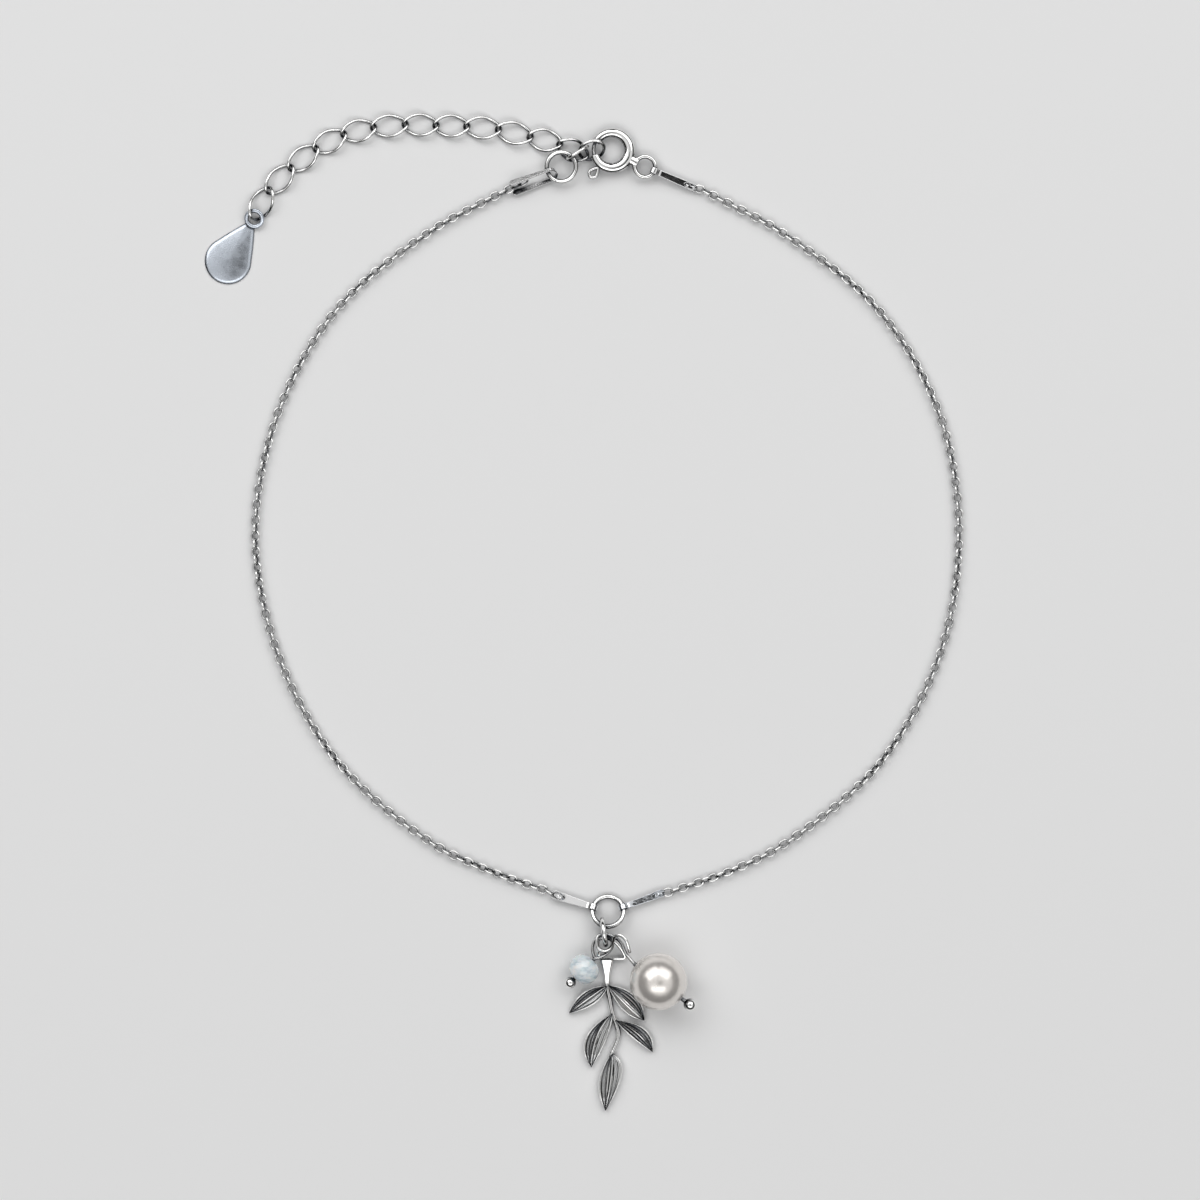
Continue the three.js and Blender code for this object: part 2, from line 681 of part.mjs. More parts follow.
anklet.add(
  ...extenderLinks(),
  piece('drop_tag', wholeTag(), silver()),
  piece('leaf_charm', sprig(), silver()),
  piece('pearl', pearlBead(), pearlCream()),
  piece('pearl_headpin', headpin(pearlPin, pearl, pearl.radius, pearlLoop, 3.15, 28), silver()),
  piece('aqua_bead', facetedBead(), aquaStone()),
  piece('aqua_headpin', headpin(aquaPin, aqua, aqua.z, aquaLoop, 1.6, 24), silver()),
);

const box = new THREE.Box3().setFromObject(anklet, true);
const middle = box.getCenter(new THREE.Vector3());
anklet.position.set(-middle.x, -middle.y, -box.min.z);

export default anklet;
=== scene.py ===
"""Charm anklet: a fine trace chain with a bolt ring, an extender chain and three drops."""
from math import asin, atan2, copysign, cos, degrees, exp, hypot, pi, radians, sin, sqrt
import random

import bmesh
import bpy
from mathutils import Matrix, Vector


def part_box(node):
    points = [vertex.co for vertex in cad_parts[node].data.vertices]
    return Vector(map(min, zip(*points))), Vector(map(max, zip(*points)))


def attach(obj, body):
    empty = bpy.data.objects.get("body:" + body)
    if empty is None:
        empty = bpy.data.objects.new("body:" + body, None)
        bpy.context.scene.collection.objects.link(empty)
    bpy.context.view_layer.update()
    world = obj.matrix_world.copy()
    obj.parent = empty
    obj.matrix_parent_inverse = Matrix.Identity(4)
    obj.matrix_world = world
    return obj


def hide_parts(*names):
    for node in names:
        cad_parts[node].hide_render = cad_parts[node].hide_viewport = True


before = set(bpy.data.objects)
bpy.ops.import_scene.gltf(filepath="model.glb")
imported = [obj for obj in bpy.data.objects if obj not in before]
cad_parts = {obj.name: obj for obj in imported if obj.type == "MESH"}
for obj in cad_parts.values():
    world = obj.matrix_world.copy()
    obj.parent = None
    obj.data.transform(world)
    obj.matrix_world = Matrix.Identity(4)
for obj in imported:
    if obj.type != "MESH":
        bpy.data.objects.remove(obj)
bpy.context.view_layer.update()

MM = 0.001
UP = Vector((0, 0, 1))

# ---- Sizes in millimetres. X and Y count from the loop's middle, Z from the surface it lies on ----

CENTRE_RING_Y = -39.13
ring_low, ring_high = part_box("centre_ring")
LOOP_MIDDLE = Vector((
    (ring_low[0] + ring_high[0]) / 2 / MM,
    (ring_low[1] + ring_high[1]) / 2 / MM - CENTRE_RING_Y,
    0,
))

TRACE_LINK = {"pitch": 0.82, "half_length": 0.52, "half_width": 0.41, "wire": 0.115, "lift": 0.51}
# The chain's routes as (angle in degrees, radius), and the places where each half meets its strips.
RIGHT_ROUTE = [
    (74.9, 37.25), (70, 36.7), (60, 36.3), (40, 36.6), (20, 36.7), (0, 36.5),
    (-20, 36.7), (-40, 36.9), (-60, 37.0), (-70, 37.2), (-80.3, 37.7),
]
RIGHT_START, RIGHT_END = (9.12, 36.02, 0.5), (5.85, -37.15, 0.5)
LEFT_ROUTE = [
    (106.5, 37.35), (110, 37.0), (120, 36.6), (140, 36.7), (160, 36.6), (180, 36.7),
    (200, 36.5), (220, 36.7), (240, 36.9), (250, 37.0), (260.4, 37.6),
]
LEFT_START, LEFT_END = [(-8.5, 36.9, 0.95), (-9.4, 36.45, 0.75)], (-5.8, -37.4, 0.52)

CLASP_MIDDLE = Vector((0.4, 39.98, 0.85))
EYELET_MIDDLE = Vector((3.84, 38.27, 0.85))

# Where the extender's links meet, from the drop tag to the clasp.
EXTENDER_JOINTS = [
    (-36.78, 33.14), (-35.3, 35.8), (-33.0, 38.2), (-30.4, 40.2), (-27.5, 41.7), (-24.4, 42.4),
    (-21.1, 42.7), (-17.9, 42.6), (-14.7, 42.5), (-11.4, 42.2), (-8.1, 41.4), (-5.05, 40.75),
]
EXTENDER_WIRE = 0.17

# The beads, with the direction from each one's ball to its wire loop, in degrees.
PEARL_MIDDLE, PEARL_AXIS = Vector((5.22, -46.3, 3.0)), 143.7
AQUA_MIDDLE, AQUA_AXIS = Vector((-2.5, -45.1, 1.62)), 44.4

# ---- Surface effects shared by the metals and the beads, and the painted shade of the silver ----


def added(tree, kind, settings=None, **inputs):
    """A node with its settings, and values on its inputs, whose names have _ for a space."""
    node = tree.nodes.new(kind)
    for setting, value in (settings or {}).items():
        setattr(node, setting, value)
    for label, value in inputs.items():
        node.inputs[label.replace("_", " ")].default_value = value
    return node


def joined(tree, *routes):
    """Links, each given as a node and its output, then a node and its input."""
    for start, output, end, socket in routes:
        tree.links.new(start.outputs[output], end.inputs[socket])


def effect_group(name, inputs, outputs):
    """A shader node group with its named sockets, and its two ends."""
    group = bpy.data.node_groups.new(name, "ShaderNodeTree")
    for label, value in inputs.items():
        kind = "NodeSocketColor" if isinstance(value, tuple) else "NodeSocketFloat"
        socket = group.interface.new_socket(label, in_out="INPUT", socket_type=kind)
        socket.default_value = value
    for label, kind in outputs.items():
        group.interface.new_socket(label, in_out="OUTPUT", socket_type=kind)
    return group, group.nodes.new("NodeGroupInput"), group.nodes.new("NodeGroupOutput")


def handling_haze_group():
    """Cloudy changes of polish where fingers have rubbed the metal."""
    group, start, end = effect_group("Handling Haze", {"Scale": 600.0, "Polished": 0.05, "Hazed": 0.16},
                                     {"Roughness": "NodeSocketFloat", "Mask": "NodeSocketFloat"})
    place = added(group, "ShaderNodeTexCoord")
    cloud = added(group, "ShaderNodeTexNoise", Detail=4.0, Roughness=0.6)
    spread = added(group, "ShaderNodeMapRange", From_Min=0.35, From_Max=0.68)
    rough = added(group, "ShaderNodeMapRange")
    joined(group,
           (place, "Object", cloud, "Vector"), (start, "Scale", cloud, "Scale"),
           (cloud, "Fac", spread, "Value"), (spread, "Result", rough, "Value"),
           (start, "Polished", rough, "To Min"), (start, "Hazed", rough, "To Max"),
           (rough, "Result", end, "Roughness"), (spread, "Result", end, "Mask"))
    return group


def fine_scratches_group():
    """Hair-fine rubbing lines that run one way across the metal."""
    group, start, end = effect_group("Fine Scratches", {"Scale": 900.0, "Stretch": 14.0, "Direction": 0.6},
                                     {"Height": "NodeSocketFloat"})
    place = added(group, "ShaderNodeTexCoord")
    turn = added(group, "ShaderNodeCombineXYZ")
    size = added(group, "ShaderNodeCombineXYZ", X=1.0, Z=1.0)
    grain = added(group, "ShaderNodeMapping")
    lines = added(group, "ShaderNodeTexNoise", Detail=5.0, Roughness=0.7)
    joined(group,
           (start, "Direction", turn, "Z"), (start, "Stretch", size, "Y"),
           (place, "Object", grain, "Vector"), (turn, "Vector", grain, "Rotation"),
           (size, "Vector", grain, "Scale"), (grain, "Vector", lines, "Vector"),
           (start, "Scale", lines, "Scale"), (lines, "Fac", end, "Height"))
    return group


def uneven_casting_group():
    """Soft swells and small pits of metal that was cast, melted or pressed."""
    group, start, end = effect_group(
        "Uneven Casting", {"Swell Scale": 900.0, "Pit Scale": 4000.0, "Pits": 0.3},
        {"Height": "NodeSocketFloat"},
    )
    place = added(group, "ShaderNodeTexCoord")
    swell = added(group, "ShaderNodeTexNoise", Detail=2.0)
    pits = added(group, "ShaderNodeTexVoronoi", Randomness=1.0)
    deep = added(group, "ShaderNodeMath", {"operation": "MULTIPLY"})
    total = added(group, "ShaderNodeMath", {"operation": "ADD"})
    joined(group,
           (place, "Object", swell, "Vector"), (place, "Object", pits, "Vector"),
           (start, "Swell Scale", swell, "Scale"), (start, "Pit Scale", pits, "Scale"),
           (pits, "Distance", deep, 0), (start, "Pits", deep, 1),
           (swell, "Fac", total, 0), (deep, "Value", total, 1),
           (total, "Value", end, "Height"))
    return group


def painted_recess_shade_group():
    """Painted shade: darkens the silver's colour towards a near-black tone where ambient occlusion finds
    corners, hollows, neighbouring parts and the table close by.
    """
    group, start, end = effect_group(
        "Recess Tarnish",
        {"Silver": (0.9, 0.9, 0.9, 1), "Tarnish": (0.2, 0.2, 0.22, 1), "Amount": 0.5, "Reach": 0.0003},
        {"Color": "NodeSocketColor"},
    )
    # Painted shade: the occlusion found within Reach becomes a mask that blends the silver towards the dark
    # shade tone.
    corner = added(group, "ShaderNodeAmbientOcclusion", {"samples": 8})
    shade_mask = added(group, "ShaderNodeMapRange", From_Min=0.9, From_Max=0.68)
    share = added(group, "ShaderNodeMath", {"operation": "MULTIPLY"})
    blend = added(group, "ShaderNodeMix", {"data_type": "RGBA"})
    joined(group,
           (start, "Reach", corner, "Distance"), (corner, "AO", shade_mask, "Value"),
           (shade_mask, "Result", share, 0), (start, "Amount", share, 1),
           (share, "Value", blend, "Factor"), (start, "Silver", blend, "A"),
           (start, "Tarnish", blend, "B"), (blend, "Result", end, "Color"))
    return group


HAZE = handling_haze_group()
SCRATCHES = fine_scratches_group()
CASTING = uneven_casting_group()
# A painted shade, not a surface effect: it darkens the silver's colour in hollows, near neighbours and
# towards the table.
PAINTED_SHADE = painted_recess_shade_group()


def placed(tree, group, **inputs):
    """One use of an effect group with its own values."""
    return added(tree, "ShaderNodeGroup", {"node_tree": group}, **inputs)


def bare_material(name, **inputs):
    """A new material with values on its shader, ready for its effects."""
    material = bpy.data.materials.new(name)
    material.use_nodes = True
    shader = material.node_tree.nodes["Principled BSDF"]
    for label, value in inputs.items():
        shader.inputs[label.replace("_", " ")].default_value = value
    return material, material.node_tree, shader


def raise_surface(tree, shader, relief, depth, under=None):
    """Feeds an effect's height to the shader's normal through a bump, with its depth in millimetres."""
    bump = added(tree, "ShaderNodeBump", Strength=1.0, Distance=depth * MM)
    joined(tree, (relief, "Height", bump, "Height"), (bump, "Normal", shader, "Normal"))
    if under is not None:
        joined(tree, (under, "Normal", bump, "Normal"))
    return bump


def silver(name, tone, haze, scratches, casting, painted_shade):
    """Sterling silver with its own values for each effect; depths and reach are in millimetres.

    haze: scale, polished, hazed. scratches: scale, stretch, direction, depth.
    casting: swell scale, pit scale, pits, depth. The last values are for the painted shade: amount, reach.
    """
    material, tree, shader = bare_material(name, Metallic=1.0, Specular_IOR_Level=0.5)
    cloud = placed(tree, HAZE, Scale=haze[0], Polished=haze[1], Hazed=haze[2])
    swell = placed(tree, CASTING, Swell_Scale=casting[0], Pit_Scale=casting[1], Pits=casting[2])
    ground = raise_surface(tree, shader, swell, casting[3])
    lines = placed(tree, SCRATCHES, Scale=scratches[0], Stretch=scratches[1], Direction=scratches[2])
    raise_surface(tree, shader, lines, scratches[3], ground)
    # Painted shade: ambient occlusion darkens the base colour towards a near-black tone in hollows, near
    # neighbouring parts and on the sides that face the table.
    corners = placed(tree, PAINTED_SHADE, Silver=(*tone, 1), Tarnish=(*PAINTED_SHADE_TONE, 1),
                     Amount=painted_shade[0], Reach=painted_shade[1] * MM)
    joined(tree, (cloud, "Roughness", shader, "Roughness"), (corners, "Color", shader, "Base Color"))
    return material


def pearl_nacre():
    """Cream nacre under a clear skin, with a faint mauve cloud."""
    material, tree, shader = bare_material("pearl_nacre", Metallic=0.6, Coat_Weight=1.0, Coat_Roughness=0.2)
    cloud = placed(tree, HAZE, Scale=420.0, Polished=0.24, Hazed=0.28)
    tint = added(tree, "ShaderNodeMix", {"data_type": "RGBA"},
                 A=(0.83, 0.785, 0.75, 1), B=(0.89, 0.85, 0.80, 1))
    joined(tree, (cloud, "Mask", tint, "Factor"), (tint, "Result", shader, "Base Color"),
           (cloud, "Roughness", shader, "Roughness"))
    swell = placed(tree, CASTING, Swell_Scale=500.0, Pit_Scale=2500.0, Pits=0.05)
    raise_surface(tree, shader, swell, 0.006)
    return material


def set_ramp(ramp, stops):
    """Gives a colour ramp its stops, each a place and a colour."""
    marks = ramp.color_ramp.elements
    while len(marks) < len(stops):
        marks.new(0.5)
    for mark, (place, colour) in zip(marks, stops):
        mark.position = place
        mark.color = (*colour, 1)


def milky_aqua():
    """Milky pale stone with grey-blue streaks along its bore."""
    material, tree, shader = bare_material(
        "milky_aqua_stone", IOR=1.57, Subsurface_Weight=0.5, Subsurface_Radius=(0.5, 0.7, 0.8),
        Subsurface_Scale=0.0008, Coat_Weight=0.5, Coat_Roughness=0.06,
    )
    streak = placed(tree, SCRATCHES, Scale=520.0, Stretch=3.2, Direction=0.78)
    ramp = added(tree, "ShaderNodeValToRGB")
    set_ramp(ramp, [(0.36, (0.45, 0.55, 0.61)), (0.48, (0.74, 0.81, 0.84)), (0.62, (0.88, 0.90, 0.90))])
    polish = placed(tree, HAZE, Scale=900.0, Polished=0.12, Hazed=0.26)
    joined(tree, (streak, "Height", ramp, "Fac"), (ramp, "Color", shader, "Base Color"),
           (polish, "Roughness", shader, "Roughness"))
    swell = placed(tree, CASTING, Swell_Scale=1200.0, Pit_Scale=5200.0, Pits=0.2)
    raise_surface(tree, shader, swell, 0.01)
    return material


# The near-black colour of the painted shade. In each silver below, the last values set how strongly and how
# far, in millimetres, that shade is painted into hollows, near neighbours and on the sides that face the
# table.
PAINTED_SHADE_TONE = (0.045, 0.05, 0.06)
CHAIN_SILVER = silver("trace_chain_silver", tone=(0.93, 0.93, 0.92), haze=(2600.0, 0.06, 0.16),
                      scratches=(2400.0, 6.0, 0.4, 0.002), casting=(2600.0, 9000.0, 0.1, 0.004),
                      painted_shade=(0.95, 1.3))
WIRE_SILVER = silver("drawn_wire_silver", tone=(0.94, 0.94, 0.93), haze=(1400.0, 0.04, 0.13),
                     scratches=(1500.0, 9.0, 0.9, 0.002), casting=(700.0, 6000.0, 0.05, 0.012),
                     painted_shade=(0.95, 4.0))
STRIP_SILVER = silver("pressed_strip_silver", tone=(0.93, 0.93, 0.93), haze=(1300.0, 0.04, 0.12),
                      scratches=(1300.0, 10.0, -0.4, 0.004), casting=(900.0, 5200.0, 0.12, 0.008),
                      painted_shade=(0.9, 1.2))
PITTED_SILVER = silver("pitted_strip_silver", tone=(0.86, 0.89, 0.93), haze=(1900.0, 0.08, 0.22),
                       scratches=(1600.0, 5.0, 0.3, 0.006), casting=(2600.0, 4600.0, 0.7, 0.02),
                       painted_shade=(0.8, 1.2))
CLASP_SILVER = silver("clasp_silver", tone=(0.95, 0.95, 0.94), haze=(900.0, 0.04, 0.12),
                      scratches=(900.0, 8.0, 0.3, 0.002), casting=(620.0, 5200.0, 0.04, 0.01),
                      painted_shade=(0.95, 3.0))
TAG_SILVER = silver("brushed_tag_silver", tone=(0.60, 0.645, 0.71), haze=(800.0, 0.22, 0.32),
                    scratches=(2600.0, 2.2, 0.35, 0.006), casting=(1500.0, 4200.0, 0.12, 0.009),
                    painted_shade=(0.8, 1.0))
LEAF_SILVER = silver("cast_leaf_silver", tone=(0.95, 0.95, 0.94), haze=(1500.0, 0.04, 0.12),
                     scratches=(2000.0, 5.0, 1.0, 0.001), casting=(1300.0, 4200.0, 0.2, 0.008),
                     painted_shade=(0.95, 0.65))
NACRE = pearl_nacre()
AQUA = milky_aqua()

# ---- Shapes: each maker gives a shell, its corners and its faces, in millimetres ----


def polar(angle, radius, z=0.0):
    """A place at an angle in degrees and a distance from the middle."""
    turn = radians(angle)
    return Vector((radius * cos(turn), radius * sin(turn), z))


def squared(value, power):
    """Squares off a round outline's cosine or sine, and keeps its sign."""
    return copysign(abs(value) ** power, value)


def bend(start, pull, finish, t):
    """A place on the curve from start to finish that is drawn towards pull."""
    return start * (1 - t) ** 2 + pull * 2 * t * (1 - t) + finish * t * t


def spline(stops, closed=False, fine=24):
    """A smooth line through the stops that doesn't loop or overshoot where they lie close."""
    stops = [Vector(stop) for stop in stops]
    count = len(stops)
    if closed:
        around = [stops[(i - 1) % count] for i in range(count + 3)]
    else:
        first = stops[0] * 2 - stops[1]
        last = stops[-1] * 2 - stops[-2]
        around = [first] + stops + [last]
    line = []
    for i in range(len(around) - 3):
        a, b, c, d = around[i:i + 4]
        ta, tb = 0.0, sqrt((b - a).length) or 1e-6
        tc = tb + (sqrt((c - b).length) or 1e-6)
        td = tc + (sqrt((d - c).length) or 1e-6)
        for step in range(fine):
            t = tb + (tc - tb) * step / fine
            ab = a.lerp(b, (t - ta) / (tb - ta))
            bc = b.lerp(c, (t - tb) / (tc - tb))
            cd = c.lerp(d, (t - tc) / (td - tc))
            abc = ab.lerp(bc, (t - ta) / (tc - ta))
            bcd = bc.lerp(cd, (t - tb) / (td - tb))
            line.append(abc.lerp(bcd, (t - tb) / (tc - tb)))
    if not closed:
        line.append(stops[-1])
    return line


def lengths_along(line, closed):
    """The length of the line from its start to each of its places."""
    marks = [0.0]
    count = len(line)
    for i in range(1, count + (1 if closed else 0)):
        marks.append(marks[-1] + (line[i % count] - line[i - 1]).length)
    return marks


def at_length(line, marks, want):
    """The place on the line at a length from its start."""
    low, high = 0, len(marks) - 1
    while high - low > 1:
        half = (low + high) // 2
        if marks[half] <= want:
            low = half
        else:
            high = half
    span = marks[high] - marks[low] or 1.0
    return line[low].lerp(line[high % len(line)], (want - marks[low]) / span)


def even(line, count, closed=False):
    """The line again with evenly spaced places."""
    marks = lengths_along(line, closed)
    parts = count if closed else count - 1
    return [at_length(line, marks, marks[-1] * i / parts) for i in range(count)]


def headings(line, closed):
    """The line's direction at each of its places."""
    count = len(line)
    ways = []
    for i in range(count):
        before = line[(i - 1) % count] if closed or i > 0 else line[i]
        after = line[(i + 1) % count] if closed or i < count - 1 else line[i]
        ways.append((after - before).normalized())
    return ways


def skin(rings, closed=False, capped=True):
    """Faces between a row of rings of corners."""
    corners = [corner for ring in rings for corner in ring]
    sides = len(rings[0])
    faces = []
    for i in range(len(rings) if closed else len(rings) - 1):
        for j in range(sides):
            here, there = i * sides, ((i + 1) % len(rings)) * sides
            beside = (j + 1) % sides
            faces.append((here + j, here + beside, there + beside, there + j))
    if capped and not closed:
        faces.append(tuple(reversed(range(sides))))
        faces.append(tuple((len(rings) - 1) * sides + j for j in range(sides)))
    return corners, faces


def wire(line, thick, sides=12, closed=False, flat=1.0, up=None, round_ends=False):
    """Round or flattened wire along a line. thick is its radius, as a number or one for each place."""
    count = len(line)
    radii = thick if isinstance(thick, list) else [thick] * count
    ways = headings(line, closed)
    start = up or (UP if abs(ways[0].z) < 0.9 else Vector((1, 0, 0)))
    normal = (start - ways[0] * start.dot(ways[0])).normalized()
    normals = []
    for way in ways:
        lean = up or normal
        normal = (lean - way * lean.dot(way)).normalized()
        normals.append(normal)
    twist = 0.0
    if closed and up is None:
        back = (normals[-1] - ways[0] * normals[-1].dot(ways[0])).normalized()
        twist = atan2(back.cross(normals[0]).dot(ways[0]), back.dot(normals[0]))
    stops = [(line[i], ways[i], normals[i], radii[i]) for i in range(count)]
    if round_ends and not closed:
        first, last = stops[0], stops[-1]
        for bow in (30, 60, 82):
            near, out = cos(radians(bow)), sin(radians(bow)) * 0.8
            for (spot, way, lift, radius), side in ((first, -1), (last, 1)):
                cap = (spot + way * side * radius * out, way, lift, radius * near)
                stops.insert(0 if side < 0 else len(stops), cap)
    rings = []
    for i, (spot, way, lift, radius) in enumerate(stops):
        aside = way.cross(lift)
        extra = twist * i / len(stops)
        rings.append([
            spot + (lift * (cos(extra + 2 * pi * j / sides) * flat)
                    + aside * sin(extra + 2 * pi * j / sides)) * radius
            for j in range(sides)
        ])
    return skin(rings, closed)


def jump_ring(radius, thick, turn, middle, seam):
    """A ring of wire, cut at the angle seam, where its two ends meet."""
    steps, sides, half_gap, filed = 72, 16, 0.022, 0.93
    gap = degrees(half_gap / radius)
    line = [polar(seam + gap + (360 - 2 * gap) * i / steps, radius) for i in range(steps + 1)]
    edge = [thick * filed] + [thick] * (steps - 1) + [thick * filed]
    return moved(wire(line, edge, sides, up=UP), turn, middle)


def moved(shell, turn=None, shift=None):
    """A shell turned and then shifted."""
    corners, faces = shell
    turn = turn or Matrix.Identity(3)
    shift = Vector(shift or (0, 0, 0))
    return [turn @ corner + shift for corner in corners], faces


def spun(angle, axis="Z"):
    """A turn about one of the axes, by an angle in degrees."""
    return Matrix.Rotation(radians(angle), 3, axis)


def tilted(angle, tilt):
    """Raises a flat ring on the side that faces an angle."""
    hinge = Vector((sin(radians(angle)), -cos(radians(angle)), 0))
    return Matrix.Rotation(radians(tilt), 3, hinge)


def leaned(lean, pitch, heading):
    """Turned about its own length, then pitched, then turned to its heading."""
    return spun(heading) @ spun(-pitch, "Y") @ spun(lean, "X")


def ribbon(line, across, widths, thick):
    """A strip with soft edges along a line; across is the direction of its width."""
    rounding, flat_margin = 0.36, 0.012
    ways = headings(line, False)
    rings = []
    for spot, way, width in zip(line, ways, widths):
        lift = way.cross(across).normalized()
        half, deep = width / 2, thick / 2
        soft = min(half, deep) * rounding
        ring = []
        for side_y, side_z, start in ((1, 1, 0), (-1, 1, 90), (-1, -1, 180), (1, -1, 270)):
            corner = []
            for angle in (0, 45, 90):
                turn = radians(start + angle)
                y = side_y * (half - soft) + soft * cos(turn)
                z = side_z * (deep - soft) + soft * sin(turn)
                corner.append(spot + across * y + lift * z)
            inset = side_y * max(0.0, half - soft - flat_margin)
            flat_edge = spot + across * inset + lift * side_z * deep
            corner.insert(len(corner) if start in (0, 180) else 0, flat_edge)
            ring += corner
        rings.append(ring)
    return skin(rings)


def turned(profile, sides):
    """A shape turned about the X axis from (radius, place along) stops."""
    rings = []
    for out, along in profile:
        angles = [2 * pi * j / sides for j in range(sides)]
        rings.append([Vector((along, out * cos(a), out * sin(a))) for a in angles])
    return skin(rings, capped=False)


def level(shell, axis, middle):
    """Lays a turned shape level with its axis at an angle from +X."""
    return moved(shell, spun(axis), middle)


def fresh_object(name, shells):
    """One object from several shells, still in millimetres."""
    corners, faces = [], []
    for more, sides in shells:
        base = len(corners)
        corners.extend(more)
        faces.extend(tuple(base + i for i in side) for side in sides)
    mesh = bpy.data.meshes.new(name)
    mesh.from_pydata([tuple(corner) for corner in corners], [], faces)
    mesh.validate()
    made = bpy.data.objects.new(name, mesh)
    bpy.context.scene.collection.objects.link(made)
    return made


def outward(mesh):
    """Turns every face to point out."""
    work = bmesh.new()
    work.from_mesh(mesh)
    bmesh.ops.recalc_face_normals(work, faces=work.faces)
    work.to_mesh(mesh)
    work.free()


def shaped(made, *modifiers):
    """Applies modifiers given as (kind, settings) to an object."""
    for kind, settings in modifiers:
        change = made.modifiers.new(kind.lower(), kind)
        for setting, value in settings.items():
            setattr(change, setting, value)
    seen = made.evaluated_get(bpy.context.evaluated_depsgraph_get())
    done = bpy.data.meshes.new_from_object(seen)
    made.modifiers.clear()
    made.data = done
    return made


def settle(made, material, body, nodes, edge):
    """Moves a piece to its place in metres, finishes it and hands it over to its body.

    edge is the angle in degrees past which two faces meet in a crisp line.
    """
    mesh = made.data
    outward(mesh)
    mesh.transform(Matrix.Scale(MM, 4) @ Matrix.Translation(LOOP_MIDDLE))
    mesh.materials.clear()
    mesh.materials.append(material)
    for side in mesh.polygons:
        side.use_smooth = True
    mesh.set_sharp_from_angle(angle=radians(edge))
    mesh.update()
    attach(made, body)
    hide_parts(*nodes)
    return made


def silver_piece(name, shells, material, *nodes, body="anklet", edge=50):
    """A finished piece of silver that stands for the named CAD nodes."""
    return settle(fresh_object(name, shells), material, body, nodes, edge=edge)


# ---- Trace chain ----


def trace_link(spot, way, roll):
    """One oval link, rolled about the chain's own direction."""
    link = TRACE_LINK
    sideways = Vector((-way.y, way.x, 0)).normalized()
    rise = way.cross(sideways)
    turn = radians(roll)
    wide = sideways * cos(turn) + rise * sin(turn)
    steps, squareness = 26, 0.9
    line = []
    for i in range(steps):
        a = 2 * pi * i / steps
        along = link["half_length"] * squared(cos(a), squareness)
        across = link["half_width"] * squared(sin(a), squareness)
        line.append(spot + way * along + wide * across)
    return wire(line, link["wire"], 8, closed=True, up=way.cross(wide))


def trace_chain(line, seed):
    """A run of links that lie alternately flat and on edge, a little unevenly."""
    rng = random.Random(seed)
    marks = lengths_along(line, False)
    count = round(marks[-1] / TRACE_LINK["pitch"])
    pitch = marks[-1] / count
    drift = rng.uniform(0, 6)
    shells = []
    for i in range(count):
        middle = at_length(line, marks, (i + 0.5) * pitch)
        ahead = at_length(line, marks, min(marks[-1], (i + 1) * pitch))
        behind = at_length(line, marks, i * pitch)
        way = (ahead - behind).normalized()
        # The roll in degrees: two slow waves along the chain and a little chance.
        lazy = 22 * sin(i * 0.11 + drift) + 12 * sin(i * 0.37 + 2 * drift) + rng.uniform(-5, 5)
        shells.append(trace_link(middle, way, lazy + 90 * (i % 2)))
    return shells


def route(stops):
    """A chain's line through its (angle, radius) stops."""
    return spline([polar(angle, radius, TRACE_LINK["lift"]) for angle, radius in stops])


def right_chain():
    """From the strip at the clasp round to the strip right of the centre."""
    line = [Vector(RIGHT_START)] + route(RIGHT_ROUTE) + [Vector(RIGHT_END)]
    return silver_piece("trace_chain_right", trace_chain(line, 3), CHAIN_SILVER, "chain_right")


def left_chain():
    """Its first links are tucked between the leaves of the sprung strip."""
    line = spline(LEFT_START + route(LEFT_ROUTE)[::8] + [LEFT_END], fine=4)
    return silver_piece("trace_chain_left", trace_chain(line, 8), CHAIN_SILVER, "chain_left")


# ---- Rings ----


def rings():
    """The ring at the centre, the ring that the drops hang on and the ring at the chain's end."""
    middle = jump_ring(1.625, 0.27, tilted(-90, 20), (0, CENTRE_RING_Y, 0.9), seam=62)
    silver_piece("ring_at_the_centre", [middle], WIRE_SILVER, "centre_ring")
    on_edge = leaned(90, -4, 98)
    bail = jump_ring(1.33, 0.26, on_edge, (-0.42, -41.25, 1.567), seam=200)
    silver_piece("ring_of_the_drops", [bail], WIRE_SILVER, "bail_ring")
    end = jump_ring(1.525, 0.25, tilted(37, 6), (-4.86, 38.27, 1.0), seam=247)
    silver_piece("ring_at_the_chain_end", [end], WIRE_SILVER, "end_ring")


# ---- Folded end strips ----

# The eye's outer and inner radius, and the height of the two leaves pressed together.
EYE_OUTER, EYE_HOLE, TONGUE = 0.5, 0.37, 0.36


def strip_width(x, length, wide):
    """The strip widens from the eye to its round end."""
    share = min(1.0, max(0.0, x / length))
    half = (wide[0] + (wide[1] - wide[0]) * share) / 2
    past = max(0.0, x - (length - wide[1] / 2)) / (wide[1] / 2)
    return 2 * max(0.05, half * sqrt(max(0.0, 1 - past * past)))


def laid(shells, eye, end, roll, ease=0.0):
    """Lays shells made along +X from one place to another, rolled about that line.

    ease is the angle by which the strip has untwisted once it is past its eye.
    """
    start, run = Vector(eye), Vector(end) - Vector(eye)

    def untwisted(spot):
        share = min(1.0, max(0.0, (spot.x - 0.45) / 0.9))
        turn = radians(ease) * share * share * (3 - 2 * share)
        return Matrix.Rotation(turn, 3, "X") @ spot

    shells = [([untwisted(spot) for spot in corners], faces) for corners, faces in shells]
    heading = degrees(atan2(run.y, run.x))
    rise = degrees(atan2(run.z, hypot(run.x, run.y)))
    turn = leaned(roll, rise, heading)
    return [moved(shell, turn, start) for shell in shells]


def end_stops(length, wide, start, fine=16):
    """Places along a leaf, close together where its end is rounded."""
    straight = length - wide / 2
    stops = [start + (straight - start) * i / fine for i in range(fine + 1)]
    return stops + [straight + wide / 2 * sin(radians(a)) for a in (15, 30, 45, 60, 72, 82, 89)]


